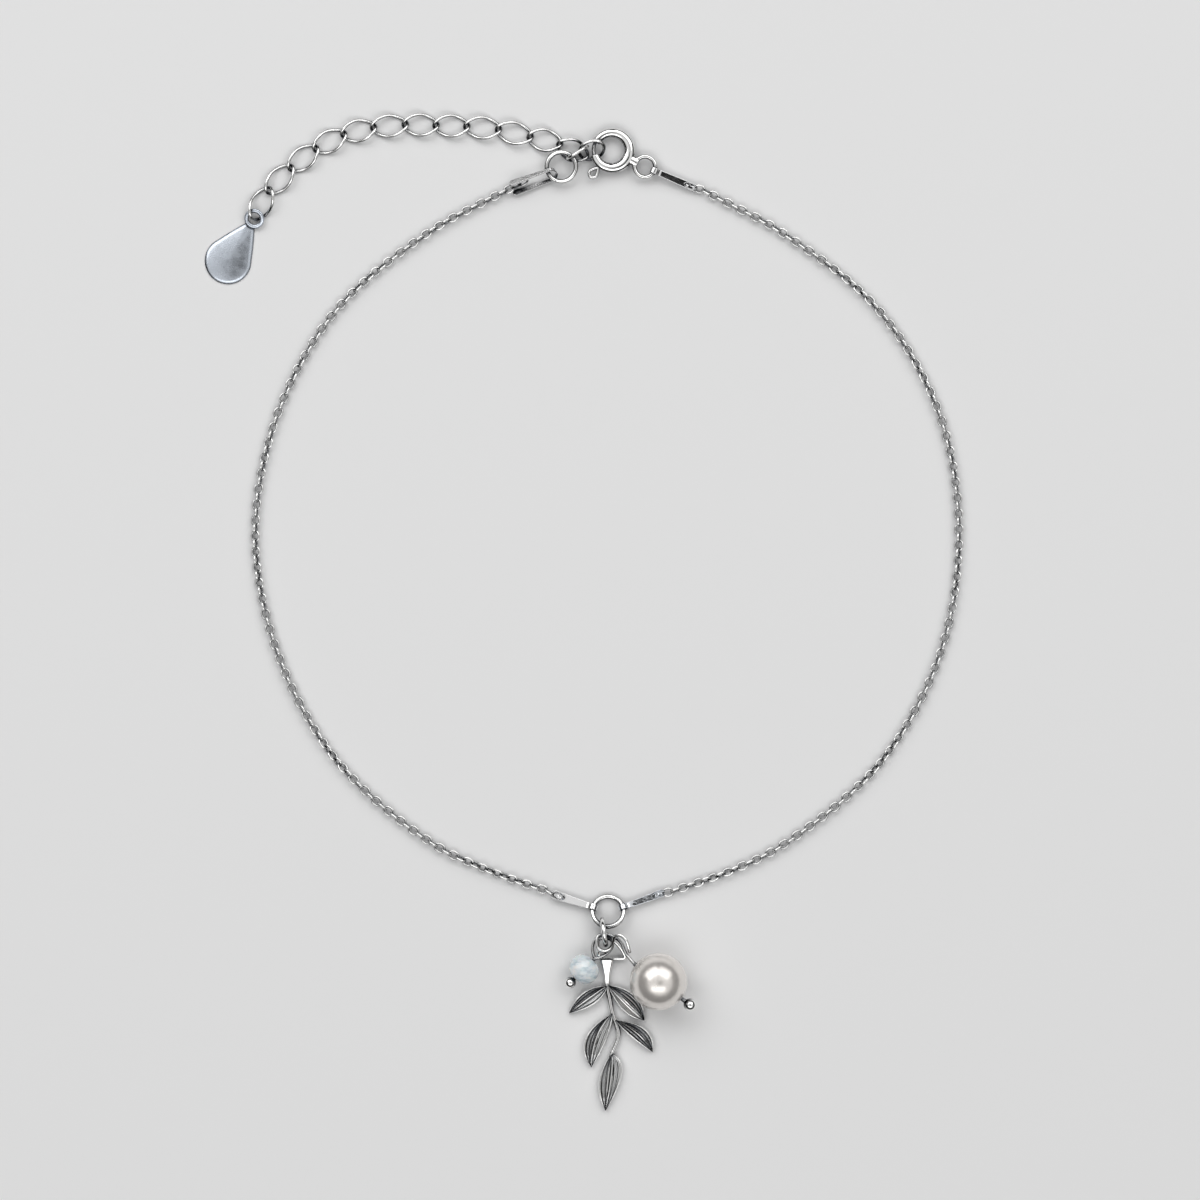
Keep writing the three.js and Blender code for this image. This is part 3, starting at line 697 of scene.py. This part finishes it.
def weld_mark(x, z, length, width, seed):
    """The oval scar where the leaf was spot welded on to the last link: a ridge round a pitted middle."""
    rng = random.Random(seed)
    lumps = [(rng.uniform(-0.6, 0.6), rng.uniform(-0.6, 0.6), rng.uniform(-1, 0.7)) for _ in range(9)]
    ridge_high, ridge_at, ridge_wide, lump_high, lump_wide, sunk = 0.13, 0.84, 0.13, 0.15, 0.04, 0.06
    rings = []
    for share in (1.0, 0.96, 0.9, 0.84, 0.76, 0.66, 0.54, 0.4, 0.26, 0.12):
        ring = []
        for j in range(36):
            a = 2 * pi * j / 36
            u, v = share * cos(a), share * sin(a)
            ridge = ridge_high * exp(-((share - ridge_at) / ridge_wide) ** 2)
            pits = sum(size * exp(-((u - s) ** 2 + (v - t) ** 2) / lump_wide) for s, t, size in lumps)
            rise = ridge + lump_high * pits * max(0.0, 1 - share * 1.2) - (sunk if share == 1.0 else 0)
            ring.append(Vector((x + u * length / 2, v * width / 2, z + rise)))
        rings.append(ring)
    return skin(rings)


def folded_strip(name, node, eye, end, wide, roll, weld, seed, ease=0.0, metal=None):
    """A strip folded round a ring, with its two leaves pressed together on the chain's last link.

    wide is its width at the eye and at the end, and weld the length and width of its weld mark.
    """
    length = (Vector(end) - Vector(eye)).length
    thick = EYE_OUTER - EYE_HOLE
    bow = (EYE_OUTER + EYE_HOLE) / 2
    rise = (TONGUE - thick) / 2
    shoulder = degrees(asin(rise / bow))
    leaf = end_stops(length, wide[1], bow * cos(radians(shoulder)) + 0.12)
    path = [Vector((x, 0, -rise)) for x in reversed(leaf)]
    turns = 24
    for i in range(turns + 1):
        a = radians(-shoulder - 12 - (360 - 2 * shoulder - 24) * i / turns)
        path.append(Vector((bow * cos(a), 0, bow * sin(a))))
    path += [Vector((x, 0, rise)) for x in leaf]
    widths = [strip_width(spot.x, length, wide) for spot in path]
    shells = [ribbon(path, Vector((0, 1, 0)), widths, thick)]
    shells.append(weld_mark(length - weld[0] / 2 - 0.04, TONGUE / 2, weld[0], weld[1], seed))
    return silver_piece(name, laid(shells, eye, end, roll, ease), metal or STRIP_SILVER, node, edge=35)


def sprung_strip():
    """The strip on the extender's side lies on its edge, with its two leaves sprung apart."""
    eye, end, wide = (-6.05, 37.42, 0.87), (-10.05, 36.0, 0.9), (0.4, 0.8)
    length = (Vector(end) - Vector(eye)).length
    apart, thick, roll = 1.46, 0.17, 43
    leaf = end_stops(length, wide[1], 0.1)
    path = [Vector((x, 0, -apart / 2)) for x in reversed(leaf)]
    path += [Vector((-apart / 2 * sin(radians(a)), 0, -apart / 2 * cos(radians(a))))
             for a in range(0, 181, 9)]
    path += [Vector((x, 0, apart / 2)) for x in leaf]
    widths = [strip_width(spot.x, length, wide) for spot in path]
    shells = [ribbon(path, Vector((0, 1, 0)), widths, thick)]
    return silver_piece("strip_sprung_open", laid(shells, eye, end, roll), STRIP_SILVER, "extender_end_tag",
                        edge=35)


def strips():
    """The four end strips, each from its eye to the end of its leaves."""
    folded_strip("strip_at_the_clasp", "clasp_end_tag", eye=(4.83, 37.85, 0.85), end=(9.26, 35.98, 0.5),
                 wide=(0.56, 0.74), roll=0, weld=(1.5, 0.66), seed=5)
    folded_strip("strip_left_of_the_centre", "centre_left_tag", eye=(-1.57, -38.7, 0.74),
                 end=(-5.93, -37.34, 0.52), wide=(0.56, 1.0), roll=14, weld=(1.5, 0.78), seed=11)
    folded_strip("strip_right_of_the_centre", "centre_right_tag", eye=(1.57, -38.7, 0.74),
                 end=(5.88, -37.13, 0.5), wide=(0.5, 0.8), roll=-16, weld=(1.3, 0.6), seed=17, ease=16,
                 metal=PITTED_SILVER)
    sprung_strip()


# ---- Bolt ring ----

CLASP_RADIUS = 1.91
NECK_ANGLE, THUMB_ANGLE = -26.4, 231
TUBE_AT_NECK, TUBE_AT_OPENING, TUBE_FLATNESS, TUBE_INSET = 0.6, 0.43, 0.78, 0.07
GATE_BORE, GATE_WIRE, THUMB_WIRE = 0.25, 0.2, 0.18


def clasp_thickness(angle):
    """The tube is fullest at the neck and slimmer towards the opening."""
    away = abs(((angle - NECK_ANGLE + 540) % 360) - 180) / 180
    return TUBE_AT_NECK + (TUBE_AT_OPENING - TUBE_AT_NECK) * away


def clasp_arc(start, finish, thickness, steps, sides, radius=CLASP_RADIUS, flat=1.0):
    """Wire or tube along the ring between two angles; thickness gives its radius at an angle."""
    line = [polar(start + (finish - start) * i / steps, radius) for i in range(steps + 1)]
    radii = [thickness(start + (finish - start) * i / steps) for i in range(steps + 1)]
    return wire(line, radii, sides, flat=flat, up=UP)


def clasp_neck():
    """The web that flows from the ring into its eyelet."""
    outline = [(bend(1.75, 2.35, 3.0, i / 12), bend(1.12, 0.3, 0.66, i / 12)) for i in range(13)]
    edge = outline + [(x, -y) for x, y in reversed(outline)]
    rings = []
    crown = [(-0.38, 0.08), (-0.35, 0.36), (-0.27, 0.66), (-0.15, 0.9)]
    for z, shrink in crown + [(0, 1.0)] + [(-z, shrink) for z, shrink in reversed(crown)]:
        rings.append([Vector((x, y * shrink, z * (1 - 0.35 * max(0.0, x - 2.2)))) for x, y in edge])
    return moved(skin(rings), spun(NECK_ANGLE))


def slot_cutter():
    """The slot on the outside of the tube that the thumb loop travels in."""
    inside, outside, half = 1.93, 2.7, 0.22
    rings = []
    for i in range(25):
        a = 221 + 70 * i / 24
        rings.append([polar(a, inside, -half), polar(a, outside, -half), polar(a, outside, half),
                      polar(a, inside, half)])
    return skin(rings)


def cut_by(made, shells):
    """Takes shells away from an object."""
    for i, shell in enumerate(shells):
        tool = fresh_object(f"cutter_{i}", [shell])
        outward(tool.data)
        shaped(made, ("BOOLEAN", {"object": tool, "operation": "DIFFERENCE", "solver": "EXACT"}))
        bpy.data.objects.remove(tool)
    return made


def clasp_body():
    """The hollow tube with its eyelet, melted together and then bored and slotted for the gate."""
    eyelet_radius, eyelet_wire = 1.075, 0.25
    circle = [polar(360 * i / 64, eyelet_radius) for i in range(64)]
    eyelet = wire(circle, eyelet_wire, 16, closed=True, up=UP)
    made = fresh_object("bolt_ring_body", [
        clasp_arc(195, 515, clasp_thickness, 96, 24, CLASP_RADIUS - TUBE_INSET, TUBE_FLATNESS),
        moved(eyelet, None, EYELET_MIDDLE - CLASP_MIDDLE),
        clasp_neck(),
    ])
    outward(made.data)
    shaped(made, ("REMESH", {"mode": "VOXEL", "voxel_size": 0.045}),
           ("SMOOTH", {"factor": 0.5, "iterations": 7}))
    cut_by(made, [
        clasp_arc(190, 298, lambda angle: GATE_BORE, 40, 16),
        clasp_arc(146, 160, lambda angle: GATE_BORE, 6, 16),
        slot_cutter(),
    ])
    made.data.transform(Matrix.Translation(CLASP_MIDDLE))
    return settle(made, CLASP_SILVER, "anklet", ["clasp_body"], edge=40)


def clasp_gate():
    """The wire that closes the ring, and the small drop-shaped loop that a thumbnail pulls."""
    arc = [polar(149 + 87 * i / 40, CLASP_RADIUS) for i in range(41)]
    shells = [wire(arc, GATE_WIRE, 14, up=UP, round_ends=True)]
    drop = spline([(2.4, 0, 0), (2.76, 0.3, 0), (3.18, 0.42, 0), (3.56, 0, 0), (3.18, -0.42, 0),
                   (2.76, -0.3, 0)], closed=True, fine=10)
    loop = wire(even(drop, 56, closed=True), THUMB_WIRE, 12, closed=True, up=UP)
    stalk = wire([Vector((CLASP_RADIUS + 0.56 * i / 6, 0, 0)) for i in range(7)],
                 [0.15, 0.14, 0.14, 0.15, 0.17, 0.19, 0.16], 12, up=UP)
    to_thumb = spun(THUMB_ANGLE)
    shells += [moved(part, to_thumb) for part in (loop, stalk)]
    shells = [moved(shell, None, CLASP_MIDDLE) for shell in shells]
    return silver_piece("bolt_ring_gate", shells, WIRE_SILVER, "clasp_gate", body="gate")


# ---- Extender chain and its drop tag ----


def extender_link(at, half, heading, lean=0, pitch=0, twist=0, point=0):
    """One open link of drawn wire, twisted so that it lies flat among its neighbours.

    half is its half length and half width, and point draws its two ends out.
    """
    line = []
    for i in range(72):
        a = 2 * pi * i / 72
        line.append(Vector((
            half[0] * (cos(a) + point * cos(3 * a)) / (1 + point),
            half[1] * (sin(a) - point * sin(3 * a)) / (1 + point),
            -twist * sin(2 * a),
        )))
    shell = wire(line, EXTENDER_WIRE, 12, closed=True)
    return moved(shell, leaned(lean, pitch, heading), at)


def extender_chain():
    """The three links at the clasp, each in its own pose, and then the run down to the drop tag."""
    shells = [
        extender_link((-3.19, 39.74, 1.27), (1.24, 0.84), heading=30.8, lean=94, pitch=3.2),
        extender_link((-1.69, 40.01, 0.84), (1.33, 1.1), heading=22.7, lean=36.2, pitch=9.6),
        extender_link((-3.69, 40.04, 0.545), (1.7, 1.085), heading=-23.4, lean=6.8, twist=0.31, point=0.05),
    ]
    for i in range(len(EXTENDER_JOINTS) - 1):
        here, there = Vector(EXTENDER_JOINTS[i]), Vector(EXTENDER_JOINTS[i + 1])
        run, middle = there - here, (here + there) / 2
        overlap, rise, twist = (0.34, 0.62, 0.46) if i == 0 else (0.24, 0.5, 0.34)
        shells.append(extender_link((middle.x, middle.y, rise), (run.length / 2 + overlap, 1.09),
                                    heading=degrees(atan2(run.y, run.x)), twist=twist, point=0.04))
    nodes = [f"extender_link_{number:02d}" for number in range(1, 15)]
    return silver_piece("extender_chain", shells, WIRE_SILVER, *nodes)


TAG_RADIUS, TAG_THICK = 2.43, 0.4


def drop_outline():
    """The teardrop's edge, all the way round from the neck."""
    shoulder, full = radians(58), 2 * pi
    edge = []
    for i in range(97):
        a = shoulder + (full - 2 * shoulder) * i / 96
        edge.append(Vector((TAG_RADIUS * cos(a), TAG_RADIUS * sin(a))))
    start, finish = edge[-1], edge[0]
    for i in range(1, 17):
        edge.append(bend(start, Vector((3.1, -1.25)), Vector((4.5, -0.42)), i / 16))
    edge += [Vector((4.56, y)) for y in (-0.25, -0.08, 0.08, 0.25)]
    for i in range(16):
        edge.append(bend(Vector((4.5, 0.42)), Vector((3.1, 1.25)), finish, i / 16))
    return edge


def drop_plate():
    """The teardrop: its edge is rolled over and its face is slightly domed."""
    edge = drop_outline()
    roll_in, roll_down, domed = 0.35, 0.1, 0.2
    rings = [[Vector((spot.x, spot.y, 0)) * 0.975 for spot in edge],
             [Vector((spot.x, spot.y, 0.04)) for spot in edge]]
    for share in (1.0, 0.985, 0.965, 0.94, 0.91, 0.87, 0.82, 0.76, 0.68, 0.56, 0.4, 0.2, 0.03):
        inward = (1 - share) * TAG_RADIUS
        rolled = roll_down * max(0.0, 1 - inward / roll_in) ** 2.2
        rise = TAG_THICK - rolled - domed * share * share
        rings.append([Vector((spot.x * share, spot.y * share, rise)) for spot in edge])
    return skin(rings)


def drop_washer():
    """The washer that is soldered on to the teardrop's neck."""
    profile = [(1.06, 0.0), (1.04, 0.1), (0.97, 0.15), (0.84, 0.165), (0.7, 0.15), (0.62, 0.1), (0.6, 0.0),
               (0.62, -0.1), (0.7, -0.13), (0.84, -0.13), (0.97, -0.13), (1.04, -0.1)]
    rings = [[polar(360 * i / 64, out, rise) for out, rise in profile] for i in range(64)]
    return moved(skin(rings, closed=True), spun(-14, "Y"), (5.15, 0, 0.56))


def drop_tag():
    """The tag at the extender's end, laid along its last link."""
    heading, middle = spun(57.7), (-39.55, 28.54, 0)
    shells = [moved(shell, heading, middle) for shell in (drop_plate(), drop_washer())]
    return silver_piece("drop_tag_plate", shells, TAG_SILVER, "drop_tag", edge=60)


# ---- Sprig of leaves ----

LEAVES = [
    {"base": (-0.1, -46.9), "tip": (-4.06, -49.75), "edges": ((-2.6, -47.55), (-1.2, -48.7)), "rib": 0.42},
    {"base": (0.0, -46.8), "tip": (3.8, -50.5), "edges": ((2.9, -47.9), (1.5, -49.5)), "rib": 0.4},
    {"base": (0.45, -49.75), "tip": (-1.73, -55.4), "edges": ((-2.4, -52.4), (0.08, -52.1)), "rib": 0.42},
    {"base": (0.75, -50.45), "tip": (4.65, -53.8), "edges": ((3.95, -51.4), (2.24, -52.1)), "rib": 0.5},
    {"base": (0.4, -53.95), "tip": (-0.26, -59.9), "edges": ((-1.0, -56.9), (1.5, -55.9)), "rib": 0.46},
]
STEM_ROUTE = [
    (-0.12, -44.6), (-0.1, -46.7), (0.17, -48.3), (0.43, -49.7), (0.94, -51.1), (1.1, -52.1), (0.69, -53.3),
    (0.25, -54.3),
]
BAIL_ROUTE = [
    (-0.75, -44.05, 0.45), (0.6, -44.1, 0.45), (1.75, -44.0, 0.5), (1.45, -43.2, 0.65), (0.55, -42.2, 0.95),
    (-0.35, -41.86, 1.03), (-0.98, -42.1, 0.95), (-1.05, -42.9, 0.7),
]


def bowed(start, through, finish, t):
    """A bow from one place to another that passes its widest place half way along."""
    return bend(start, through * 2 - start * 0.5 - finish * 0.5, finish, t)


def leaf_height(u, v, rib):
    """A leaf's upper side: raised rims and a double midrib round two hollows."""
    low, arch, tip_drop, hollow_deep = 0.6, 0.34, 0.16, 0.3
    rim_drop, rim_wide, groove_deep, groove_wide = 0.22, 0.12, 0.16, 0.035
    fullness = sin(pi * min(1.0, max(0.0, u))) ** 0.55
    crown = low + arch * sin(pi * (0.12 + 0.8 * u)) - tip_drop * max(0.0, u - 0.8) / 0.2
    inner = v / rib if v < rib else (1 - v) / (1 - rib)
    hollow = hollow_deep * fullness * sin(pi * min(1.0, max(0.0, (inner - 0.2) / 0.68)) ** 0.85)
    rim = rim_drop * max(0.0, 1 - inner / rim_wide) ** 2
    groove = groove_deep * fullness * exp(-((v - rib) / groove_wide) ** 2)
    return crown - hollow - rim - groove


def leaf(base, tip, edges, rib):
    """One leaf between its two bowed edges; rib is the place of its midrib, as a share of its width."""
    start, finish = Vector(base), Vector(tip)
    sides = [Vector(edge) for edge in edges]
    along, across = 44, 40
    top, under = [], []
    for i in range(along + 1):
        u = i / along
        left, right = (bowed(start, side, finish, u) for side in sides)
        top.append([])
        under.append([])
        for j in range(across + 1):
            v = 0.5 - 0.5 * cos(pi * (0.04 + 0.92 * j / across))
            spot = left.lerp(right, v)
            top[-1].append(Vector((spot.x, spot.y, leaf_height(u, v, rib))))
            under[-1].append(Vector((spot.x, spot.y, 0.06 + 0.1 * (2 * v - 1) ** 2)))
    rings = [upper + list(reversed(lower)) for upper, lower in zip(top, under)]
    return skin(rings)


def sprig_stem():
    """The stem tapers from the bail to the last leaf."""
    line = even(spline([(x, y, 0.44) for x, y in STEM_ROUTE]), 60)
    return wire(line, [0.29 - 0.06 * i / 59 for i in range(60)], 14, up=UP, round_ends=True)


def sprig_flare():
    """The stem's head opens out, rises and turns square under the bail."""
    length, thick, squareness = 2.5, 0.28, (0.55, 0.5)
    rings = []
    for i in range(25):
        t = i / 24
        spot = Vector((-0.13 + 0.03 * i / 24, -44.2 - length * i / 24, 0.44 + 0.5 * (1 - t) ** 1.3))
        half = 0.24 + 0.45 * (1 - t) ** 1.7
        ring = []
        for j in range(24):
            aside, up = sin(2 * pi * j / 24), cos(2 * pi * j / 24)
            ring.append(spot + Vector((half * squared(aside, squareness[0]), 0,
                                       thick * squared(up, squareness[1]))))
        rings.append(ring)
    return skin(rings)


def leaf_stalk(base, tip):
    """A short stalk that runs a little way into the leaf."""
    start, finish = Vector(base), Vector(tip)
    stalk = [start.lerp(finish, 0.22 * i / 8) for i in range(9)]
    line = [Vector((spot.x, spot.y, 0.46)) for spot in stalk]
    return wire(line, [0.2 - 0.05 * i / 8 for i in range(9)], 12, up=UP, round_ends=True)


def leaf_sprig():
    """Five leaves on a stem and the bail that it hangs by, cast in one."""
    shells = [leaf(**spec) for spec in LEAVES]
    shells += [sprig_stem(), sprig_flare()]
    shells += [leaf_stalk(spec["base"], spec["tip"]) for spec in LEAVES]
    bail = even(spline(BAIL_ROUTE, closed=True), 90, closed=True)
    shells.append(wire(bail, 0.2, 12, closed=True, up=UP))
    return silver_piece("leaf_sprig", shells, LEAF_SILVER, "leaf_charm", edge=70)


# ---- Pearl and stone on their headpins ----

PEARL_WIRE, AQUA_WIRE = 0.18, 0.17
PEARL_LOOP = [
    (2.75, -44.5, 2.97), (1.84, -43.4, 2.7), (1.36, -42.3, 2.45), (0.5, -41.66, 2.2), (-0.35, -41.42, 2.12),
    (-1.0, -41.6, 2.15), (-1.18, -42.3, 2.2), (-0.95, -42.95, 2.2), (-0.3, -43.18, 2.22), (0.3, -42.8, 2.38),
    (0.5, -42.2, 2.68), (0.66, -41.72, 2.98), (1.2, -41.45, 3.25), (1.84, -41.95, 3.38), (2.12, -42.75, 3.25),
    (2.22, -43.2, 3.1),
]
AQUA_LOOP = [
    (-1.3, -43.95, 1.62), (0.02, -43.33, 1.66), (0.47, -42.6, 1.7), (0.2, -41.86, 1.72), (-0.5, -41.6, 1.74),
    (-1.25, -41.9, 1.72), (-1.6, -42.68, 1.7), (-1.55, -43.45, 1.66),
]


def pearl_bead():
    """A round pearl with a small worn rim at each end of its bore."""
    radius, bore, deep, worn = 3.0, 0.45, 2.2, 0.06
    first = asin(bore / radius)
    lip = radius * cos(first) - worn
    profile = [(0.02, -deep), (bore, -deep), (bore, -lip)]
    for i in range(65):
        a = first + 0.012 + (pi - 2 * first - 0.024) * i / 64
        profile.append((radius * sin(a), -radius * cos(a)))
    profile += [(bore, lip), (bore, deep), (0.02, deep)]
    made = fresh_object("pearl_bead", [level(turned(profile, 96), PEARL_AXIS, PEARL_MIDDLE)])
    return settle(made, NACRE, "anklet", ["pearl"], edge=40)


def aqua_stone():
    """A small faceted rondelle: two rows of kite facets, a narrow girdle and a flat round its bore."""
    sides = 12
    # Each row of corners: its radius, its place along the bore, and its turn as a share of a facet.
    rows = [(0.42, -1.3, 0), (0.66, -1.32, 0), (1.22, -1.02, 0.5), (1.54, -0.52, 0), (1.63, -0.08, 0.5),
            (1.63, 0.1, 0.5), (1.54, 0.52, 0), (1.22, 1.02, 0.5), (0.66, 1.32, 0), (0.42, 1.3, 0)]
    corners, faces = [], []
    for out, along, shift in rows:
        for j in range(sides):
            a = 2 * pi * (j + shift) / sides
            corners.append(Vector((along, out * cos(a), out * sin(a))))
    for i in range(len(rows) - 1):
        here, there = i * sides, (i + 1) * sides
        lead = rows[i + 1][2] - rows[i][2]
        for j in range(sides):
            beside, behind = (j + 1) % sides, (j - 1) % sides
            if lead > 0:
                faces.append((here + j, there + j, there + behind))
                faces.append((here + j, here + beside, there + j))
            elif lead < 0:
                faces.append((here + j, here + beside, there + beside))
                faces.append((here + j, there + beside, there + j))
            else:
                faces.append((here + j, here + beside, there + beside, there + j))
    faces.append(tuple(range(sides)))
    faces.append(tuple((len(rows) - 1) * sides + j for j in range(sides)))
    made = fresh_object("aqua_stone", [level((corners, faces), AQUA_AXIS, AQUA_MIDDLE)])
    outward(made.data)
    shaped(made, ("BEVEL", {"width": 0.035, "segments": 2, "limit_method": "ANGLE",
                            "angle_limit": radians(9)}))
    return settle(made, AQUA, "anklet", ["aqua_bead"], edge=12)


def ball_and_pin(pin, ball, ball_at, length, axis, middle):
    """The headpin's ball, its small collar and the pin through the bead."""
    thread, collar, neck = 0.01, 1.15, 0.12
    profile = [(thread, -ball_at - ball)]
    for i in range(1, 20):
        a = pi * i / 21
        profile.append((ball * sin(a), -ball_at - ball * cos(a)))
    profile += [(pin * collar, -ball_at + ball * 0.98), (pin, -ball_at + ball + neck), (pin, length),
                (thread, length)]
    return level(turned(profile, 28), axis, middle)


def headpins():
    """The two headpins, each with the wire loop that hangs its bead."""
    pin = ball_and_pin(pin=0.22, ball=0.675, ball_at=4.06, length=3.15, axis=PEARL_AXIS, middle=PEARL_MIDDLE)
    loop = wire(even(spline(PEARL_LOOP), 170), PEARL_WIRE, 14, round_ends=True)
    silver_piece("headpin_of_the_pearl", [loop, pin], WIRE_SILVER, "pearl_headpin", edge=60)
    pin = ball_and_pin(pin=0.18, ball=0.6, ball_at=2.0, length=1.6, axis=AQUA_AXIS, middle=AQUA_MIDDLE)
    loop = wire(even(spline(AQUA_LOOP, closed=True), 100, closed=True), AQUA_WIRE, 14, closed=True)
    silver_piece("headpin_of_the_stone", [loop, pin], WIRE_SILVER, "aqua_headpin", edge=60)


# ---- Table, light and camera ----


def table():
    """A plain pale table top."""
    bpy.ops.mesh.primitive_plane_add(size=6)
    top = bpy.context.object
    top.name = "table_top"
    pale = bare_material("pale_table", Base_Color=(0.82, 0.82, 0.82, 1), Roughness=0.75,
                         Specular_IOR_Level=0.2)[0]
    top.data.materials.append(pale)


def softbox(name, azimuth, from_zenith, width, height, brightness):
    """A soft light that looks at the anklet. Azimuth counts anticlockwise from +X; lengths are in metres."""
    reach = 0.85
    light = bpy.data.lights.new(name, "AREA")
    light.shape = "RECTANGLE"
    light.size, light.size_y = width, height
    light.energy = brightness * pi * width * height
    lamp = bpy.data.objects.new(name, light)
    flat, lean = radians(azimuth), radians(from_zenith)
    away = Vector((sin(lean) * cos(flat), sin(lean) * sin(flat), cos(lean)))
    lamp.location = away * reach
    lamp.rotation_euler = away.to_track_quat("Z", "Y").to_euler()
    lamp.visible_camera = False
    bpy.context.scene.collection.objects.link(lamp)


# The ceiling is dim round one spot, a little off the zenith, and again below the windows. Each band
# is the cosine of the angle from that spot and the light's strength.
DIM_CEILING_SPOT = (0.0947, -0.0442, 0.9945)
CEILING_BANDS = [(0.0, 0.006), (0.56, 0.012), (0.66, 0.6), (0.9, 0.72), (0.978, 0.68), (0.989, 0.03),
                 (1.0, 0.015)]


def studio():
    """Two windows beyond the clasp, a fill beyond the drops and the dim room round them."""
    softbox("window_left", azimuth=126, from_zenith=46, width=0.85, height=0.56, brightness=1.72)
    softbox("window_right", azimuth=56, from_zenith=46, width=0.78, height=0.56, brightness=1.45)
    softbox("front_fill", azimuth=268, from_zenith=30, width=0.85, height=0.3, brightness=1.4)
    world = bpy.data.worlds.new("dim_room")
    bpy.context.scene.world = world
    world.use_nodes = True
    tree = world.node_tree
    place = added(tree, "ShaderNodeTexCoord")
    height = added(tree, "ShaderNodeVectorMath", {"operation": "DOT_PRODUCT"})
    height.inputs[1].default_value = DIM_CEILING_SPOT
    ramp = added(tree, "ShaderNodeValToRGB")
    set_ramp(ramp, [(cosine, (tone, tone, tone)) for cosine, tone in CEILING_BANDS])
    joined(tree, (place, "Generated", height, 0), (height, "Value", ramp, "Fac"),
           (ramp, "Color", tree.nodes["Background"], "Color"))


def camera():
    """Straight above, with the whole anklet in view."""
    aim = Vector((1.67 * MM, 1.25 * MM, 0.6 * MM))
    height, view_width, sensor = 0.62, 124.8 * MM, 36
    lens = bpy.data.cameras.new("overhead")
    lens.sensor_width = sensor
    lens.lens = sensor * height / view_width
    lens.clip_start = 0.01
    seen = bpy.data.objects.new("overhead", lens)
    seen.location = aim + Vector((0, 0, height))
    bpy.context.scene.collection.objects.link(seen)
    bpy.context.scene.camera = seen


# ---- Everything in its place ----

camera()
table()
studio()
right_chain()
left_chain()
rings()
strips()
clasp_body()
clasp_gate()
extender_chain()
drop_tag()
leaf_sprig()
pearl_bead()
aqua_stone()
headpins()

bpy.context.scene.view_settings.view_transform = "Standard"
